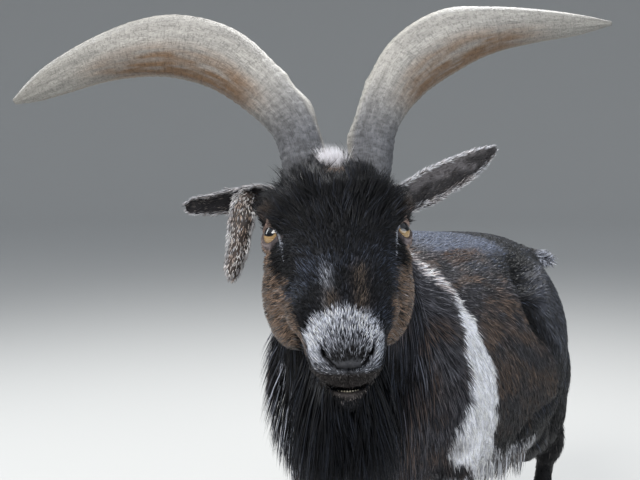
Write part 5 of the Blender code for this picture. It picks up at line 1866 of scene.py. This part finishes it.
def eye_material():
    made, tree, shader = new_material("goat_eye", 0.06, 0.5)
    shader.inputs["Coat Weight"].default_value = 0.3
    shader.inputs["Coat Roughness"].default_value = 0.03
    spot = tint_of(tree, "spot")
    parts = node(tree, "ShaderNodeSeparateXYZ")
    tree.links.new(spot.outputs["Vector"], parts.inputs[0])

    def calc(operation, a, b=0.0):
        made = node(tree, "ShaderNodeMath", operation=operation)
        for k, value in enumerate((a, b)):
            if isinstance(value, float):
                made.inputs[k].default_value = value
            else:
                tree.links.new(value, made.inputs[k])
        return made.outputs[0]

    def squared(value, size):
        return calc("POWER", calc("DIVIDE", calc("ABSOLUTE", value), size), 2.0)

    def ramp(value, low, high):
        made = node(tree, "ShaderNodeMapRange", interpolation_type="SMOOTHSTEP")
        made.inputs["From Min"].default_value = low
        made.inputs["From Max"].default_value = high
        tree.links.new(value, made.inputs["Value"])
        return made.outputs["Result"]

    def blend(factor, a, b):
        made = node(tree, "ShaderNodeMix", data_type="RGBA")
        tree.links.new(factor, made.inputs["Factor"])
        for socket, value in ((made.inputs[6], a), (made.inputs[7], b)):
            if isinstance(value, tuple):
                socket.default_value = (*value, 1.0)
            else:
                tree.links.new(value, socket)
        return made.outputs[2]

    x, y = parts.outputs["X"], parts.outputs["Y"]
    radius = calc("SQRT", calc("ADD", squared(x, 1.0), squared(y, 1.0)))
    beside = calc("SUBTRACT", x, PUPIL_PLACE[0])
    above = calc("SUBTRACT", y, PUPIL_PLACE[1])
    cosine, sine = math.cos(PUPIL_TURN), math.sin(PUPIL_TURN)
    lifted = calc("ADD", calc("MULTIPLY", beside, sine), calc("MULTIPLY", above, cosine))
    shifted = calc("SUBTRACT", calc("MULTIPLY", beside, cosine), calc("MULTIPLY", above, sine))
    wide = calc("POWER", calc("DIVIDE", calc("ABSOLUTE", shifted), PUPIL_SIZE[0]), 3.0)
    high = calc("POWER", calc("DIVIDE", calc("ABSOLUTE", lifted), PUPIL_SIZE[1]), 3.0)
    pupil = calc("ADD", wide, high)
    around = calc("ARCTAN2", y, x)
    turned = node(tree, "ShaderNodeCombineXYZ")
    tree.links.new(calc("MULTIPLY", around, 9.0), turned.inputs[0])
    tree.links.new(calc("MULTIPLY", radius, 260.0), turned.inputs[1])
    streaks = node(tree, "ShaderNodeTexNoise", Scale=1.0, Detail=3.0)
    tree.links.new(turned.outputs[0], streaks.inputs["Vector"])
    iris = blend(ramp(streaks.outputs["Fac"], 0.3, 0.7), (0.24, 0.135, 0.055), (0.54, 0.38, 0.19))
    iris = blend(ramp(radius, 0.0078, 0.0092), iris, (0.050, 0.030, 0.018))
    white = blend(ramp(radius, 0.0090, 0.0100), iris, (0.060, 0.040, 0.032))
    colour = blend(ramp(pupil, 1.25, 0.75), white, (0.003, 0.004, 0.007))
    tree.links.new(colour, shader.inputs["Base Color"])
    return made


def tooth_material():
    made, tree, shader = new_material("goat_tooth", 0.22, 0.5)
    stain = object_noise(tree, Scale=380.0, Detail=2.0)
    ramp = node(tree, "ShaderNodeValToRGB")
    ramp.color_ramp.elements[0].color = (0.42, 0.34, 0.20, 1)
    ramp.color_ramp.elements[1].color = (0.84, 0.80, 0.68, 1)
    tree.links.new(stain, ramp.inputs["Fac"])
    tree.links.new(ramp.outputs["Color"], shader.inputs["Base Color"])
    return made


# The stage

# The photo's camera: its turn, its focal length, width and tilt in pixels of the photo, and its place as
# seen from the middle between the eyes: to the left, back, and its height above the ground
CAMERA_TURN = math.radians(25)
PHOTO_FOCUS = 1015.0
PHOTO_WIDTH = 640.0
PHOTO_TILT = 101
CAMERA_PLACE = (0.0144, 0.86, 0.606)
SENSOR_WIDTH = 36.0


def make_camera(shift):
    ahead = Vector((-math.sin(CAMERA_TURN), math.cos(CAMERA_TURN), 0))
    right = Vector((math.cos(CAMERA_TURN), math.sin(CAMERA_TURN), 0))
    left, back, height = CAMERA_PLACE
    place = EYE_MIDDLE - left * right - back * ahead
    place.z = height
    pitch = math.atan(PHOTO_TILT / PHOTO_FOCUS)
    look = ahead * math.cos(pitch) + Vector((0, 0, -1)) * math.sin(pitch)
    camera = new_object("camera", bpy.data.cameras.new("camera"))
    camera.data.sensor_width = SENSOR_WIDTH
    camera.data.lens = PHOTO_FOCUS / PHOTO_WIDTH * SENSOR_WIDTH
    camera.data.clip_start = 0.01
    camera.location = place + shift
    camera.rotation_euler = look.to_track_quat("-Z", "Y").to_euler()
    bpy.context.scene.camera = camera
    return ahead, right


def area_light(name, place, target, size, power, colour):
    lamp = bpy.data.lights.new(name, "AREA")
    lamp.shape = "DISK"
    lamp.size = size
    lamp.energy = power
    lamp.color = colour
    obj = new_object(name, lamp)
    obj.location = place
    obj.rotation_euler = (target - place).to_track_quat("-Z", "Y").to_euler()


FLOOR_SIDES = 96
# Name, how far ahead, to the right and up from the goat, size, power and colour
LIGHTS = (
    ("key", -1.3, -1.0, 1.7, 1.1, 46, (1.0, 0.98, 0.95)),
    ("fill", -1.3, 1.6, 0.6, 1.4, 17, (0.92, 0.96, 1.0)),
    ("rim", 1.3, 0.5, 1.8, 0.9, 50, (1.0, 1.0, 1.0)),
    ("rim_left", 0.9, -1.6, 1.0, 0.9, 18, (0.95, 0.98, 1.0)),
)


def make_stage(ahead, right):
    """A wide pale bowl for a floor, with soft lights."""
    slopes = np.linspace(0.06, math.pi / 2, 22)
    profile = [(3.0, 0.0), (6.5, 0.0)]
    profile += [(6.5 + 4.0 * math.sin(a), 4.0 - 4.0 * math.cos(a)) for a in slopes]
    profile += [(10.5, 8.0)]
    angles = np.linspace(0, 2 * math.pi, FLOOR_SIDES + 1)[:-1]
    shape = bmesh.new()
    rings = []
    for radius, height in profile:
        spots = [(radius * math.cos(a), radius * math.sin(a), height) for a in angles]
        rings.append([shape.verts.new(spot) for spot in spots])
    shape.faces.new(rings[0])
    for inner, outer in zip(rings, rings[1:]):
        for i in range(FLOOR_SIDES):
            j = (i + 1) % FLOOR_SIDES
            shape.faces.new((inner[i], outer[i], outer[j], inner[j]))
    mesh = bpy.data.meshes.new("floor")
    shape.to_mesh(mesh)
    shape.free()
    floor = new_object("floor", mesh)
    made, _, shader = new_material("floor", 0.9, 0.2)
    shader.inputs["Base Color"].default_value = (0.50, 0.50, 0.49, 1)
    mesh.materials.append(made)
    shade_smooth(mesh)
    world = bpy.data.worlds.new("studio")
    world.use_nodes = True
    world.node_tree.nodes["Background"].inputs[0].default_value = (0.86, 0.92, 1.0, 1)
    world.node_tree.nodes["Background"].inputs[1].default_value = 0.65
    bpy.context.scene.world = world
    target = Vector((0.02, -0.15, 0.42))
    for name, away, aside, up, *looks in LIGHTS:
        area_light(name, target + ahead * away + right * aside + Vector((0, 0, up)), target, *looks)
    bpy.context.scene.view_settings.view_transform = "Standard"


# The whole

def main():
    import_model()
    low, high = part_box("eye_left")
    shift = (low + high) / 2 - HEAD @ Vector((EYE_SPREAD, 0, 0))
    hair = hair_material("goat_hair", 0.48, 0.18)
    body_hair = hair_material("goat_body_hair", 0.42, 0.40)
    horn = horn_material()
    hoof = hoof_material()
    eye = eye_material()
    pieces = []

    skin = make_skin()
    skin.data.materials.append(skin_material())
    legs = ("foreleg_left", "foreleg_right", "hindleg_left", "hindleg_right")
    pieces.append((skin, "body_coat", ("head", "neck", "torso", "tail", *legs)))
    for slot, piece in make_head_coat(skin) + make_body_coat(skin):
        piece.data.materials.append(body_hair if slot == "body_coat" else hair)
        pieces.append((piece, slot, ()))

    flap = ((0.760, 0.720, 0.705), (0.500, 0.455, 0.440))
    # Name, rows, side, way of the opening, tufts, seed, white in the rim, outer and inner colour, mottling
    # with painted shade low inside
    ears = (
        ("ear_left", EAR_LEFT, 1, (0.25, 0.85, -0.45), 2800, 61, 0.75, GRIZZLE, (0.074, 0.069, 0.072), 1.0),
        ("ear_right", EAR_RIGHT, -1, (0.0, 0.9, -0.4), 1600, 62, 0.5, GRIZZLE, (0.034, 0.032, 0.036), 0.0),
        ("ear_right_flap", EAR_FLAP, -1, (0.3, -0.95, 0.0), 2000, 63, 0.5, *flap, 0.45),
    )
    for name, rows, side, opening, count, seed, fringe, outer, inner, paler in ears:
        ear = ear_mesh(name + "_skin", rows, side, opening)
        ear_skin_tint(ear.data, rows, side, opening, inner, paler)
        ear.data.materials.append(skin_material())
        pieces.append((ear, "ear_coat", () if name.endswith("flap") else (name,)))
        coat = ear_coat(name + "_coat", ear, rows, side, opening, count, seed, fringe, outer, inner, paler)
        coat.data.materials.append(hair)
        pieces.append((coat, "ear_coat", ()))

    # Name, rows, side, seed and where along the horn its knob is
    horns = (("horn_left", HORN_LEFT, 1, 71, 0.16), ("horn_right", HORN_RIGHT, -1, 72, 0.215))
    for name, *measures in horns:
        piece = make_horn(name + "_ringed", *measures)
        piece.data.materials.append(horn)
        pieces.append((piece, "horn", (name,)))
    for end, out, y in FEET:
        for label, side in (("left", 1), ("right", -1)):
            for place, apart in (("outer", CLAW_SPREAD), ("inner", -CLAW_SPREAD)):
                name = "_".join(("hoof", end, label, place))
                piece = make_hoof(name + "_ringed", out, y, side, apart)
                piece.data.materials.append(hoof)
                pieces.append((piece, "hoof", (name,)))
    for name, side in (("eye_left", 1), ("eye_right", -1)):
        piece = make_eye(name + "_ball", side)
        piece.data.materials.append(eye)
        pieces.append((piece, "eye", (name,)))
    teeth = make_tooth_row()
    teeth.data.materials.append(tooth_material())
    pieces.append((teeth, "tooth", ("teeth",)))

    for piece, slot, nodes in pieces:
        piece.data.transform(Matrix.Translation(shift))
        piece.data.update()
        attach(piece, "root")
        if nodes:
            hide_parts(*nodes)
    ahead, right = make_camera(shift)
    make_stage(ahead, right)


main()
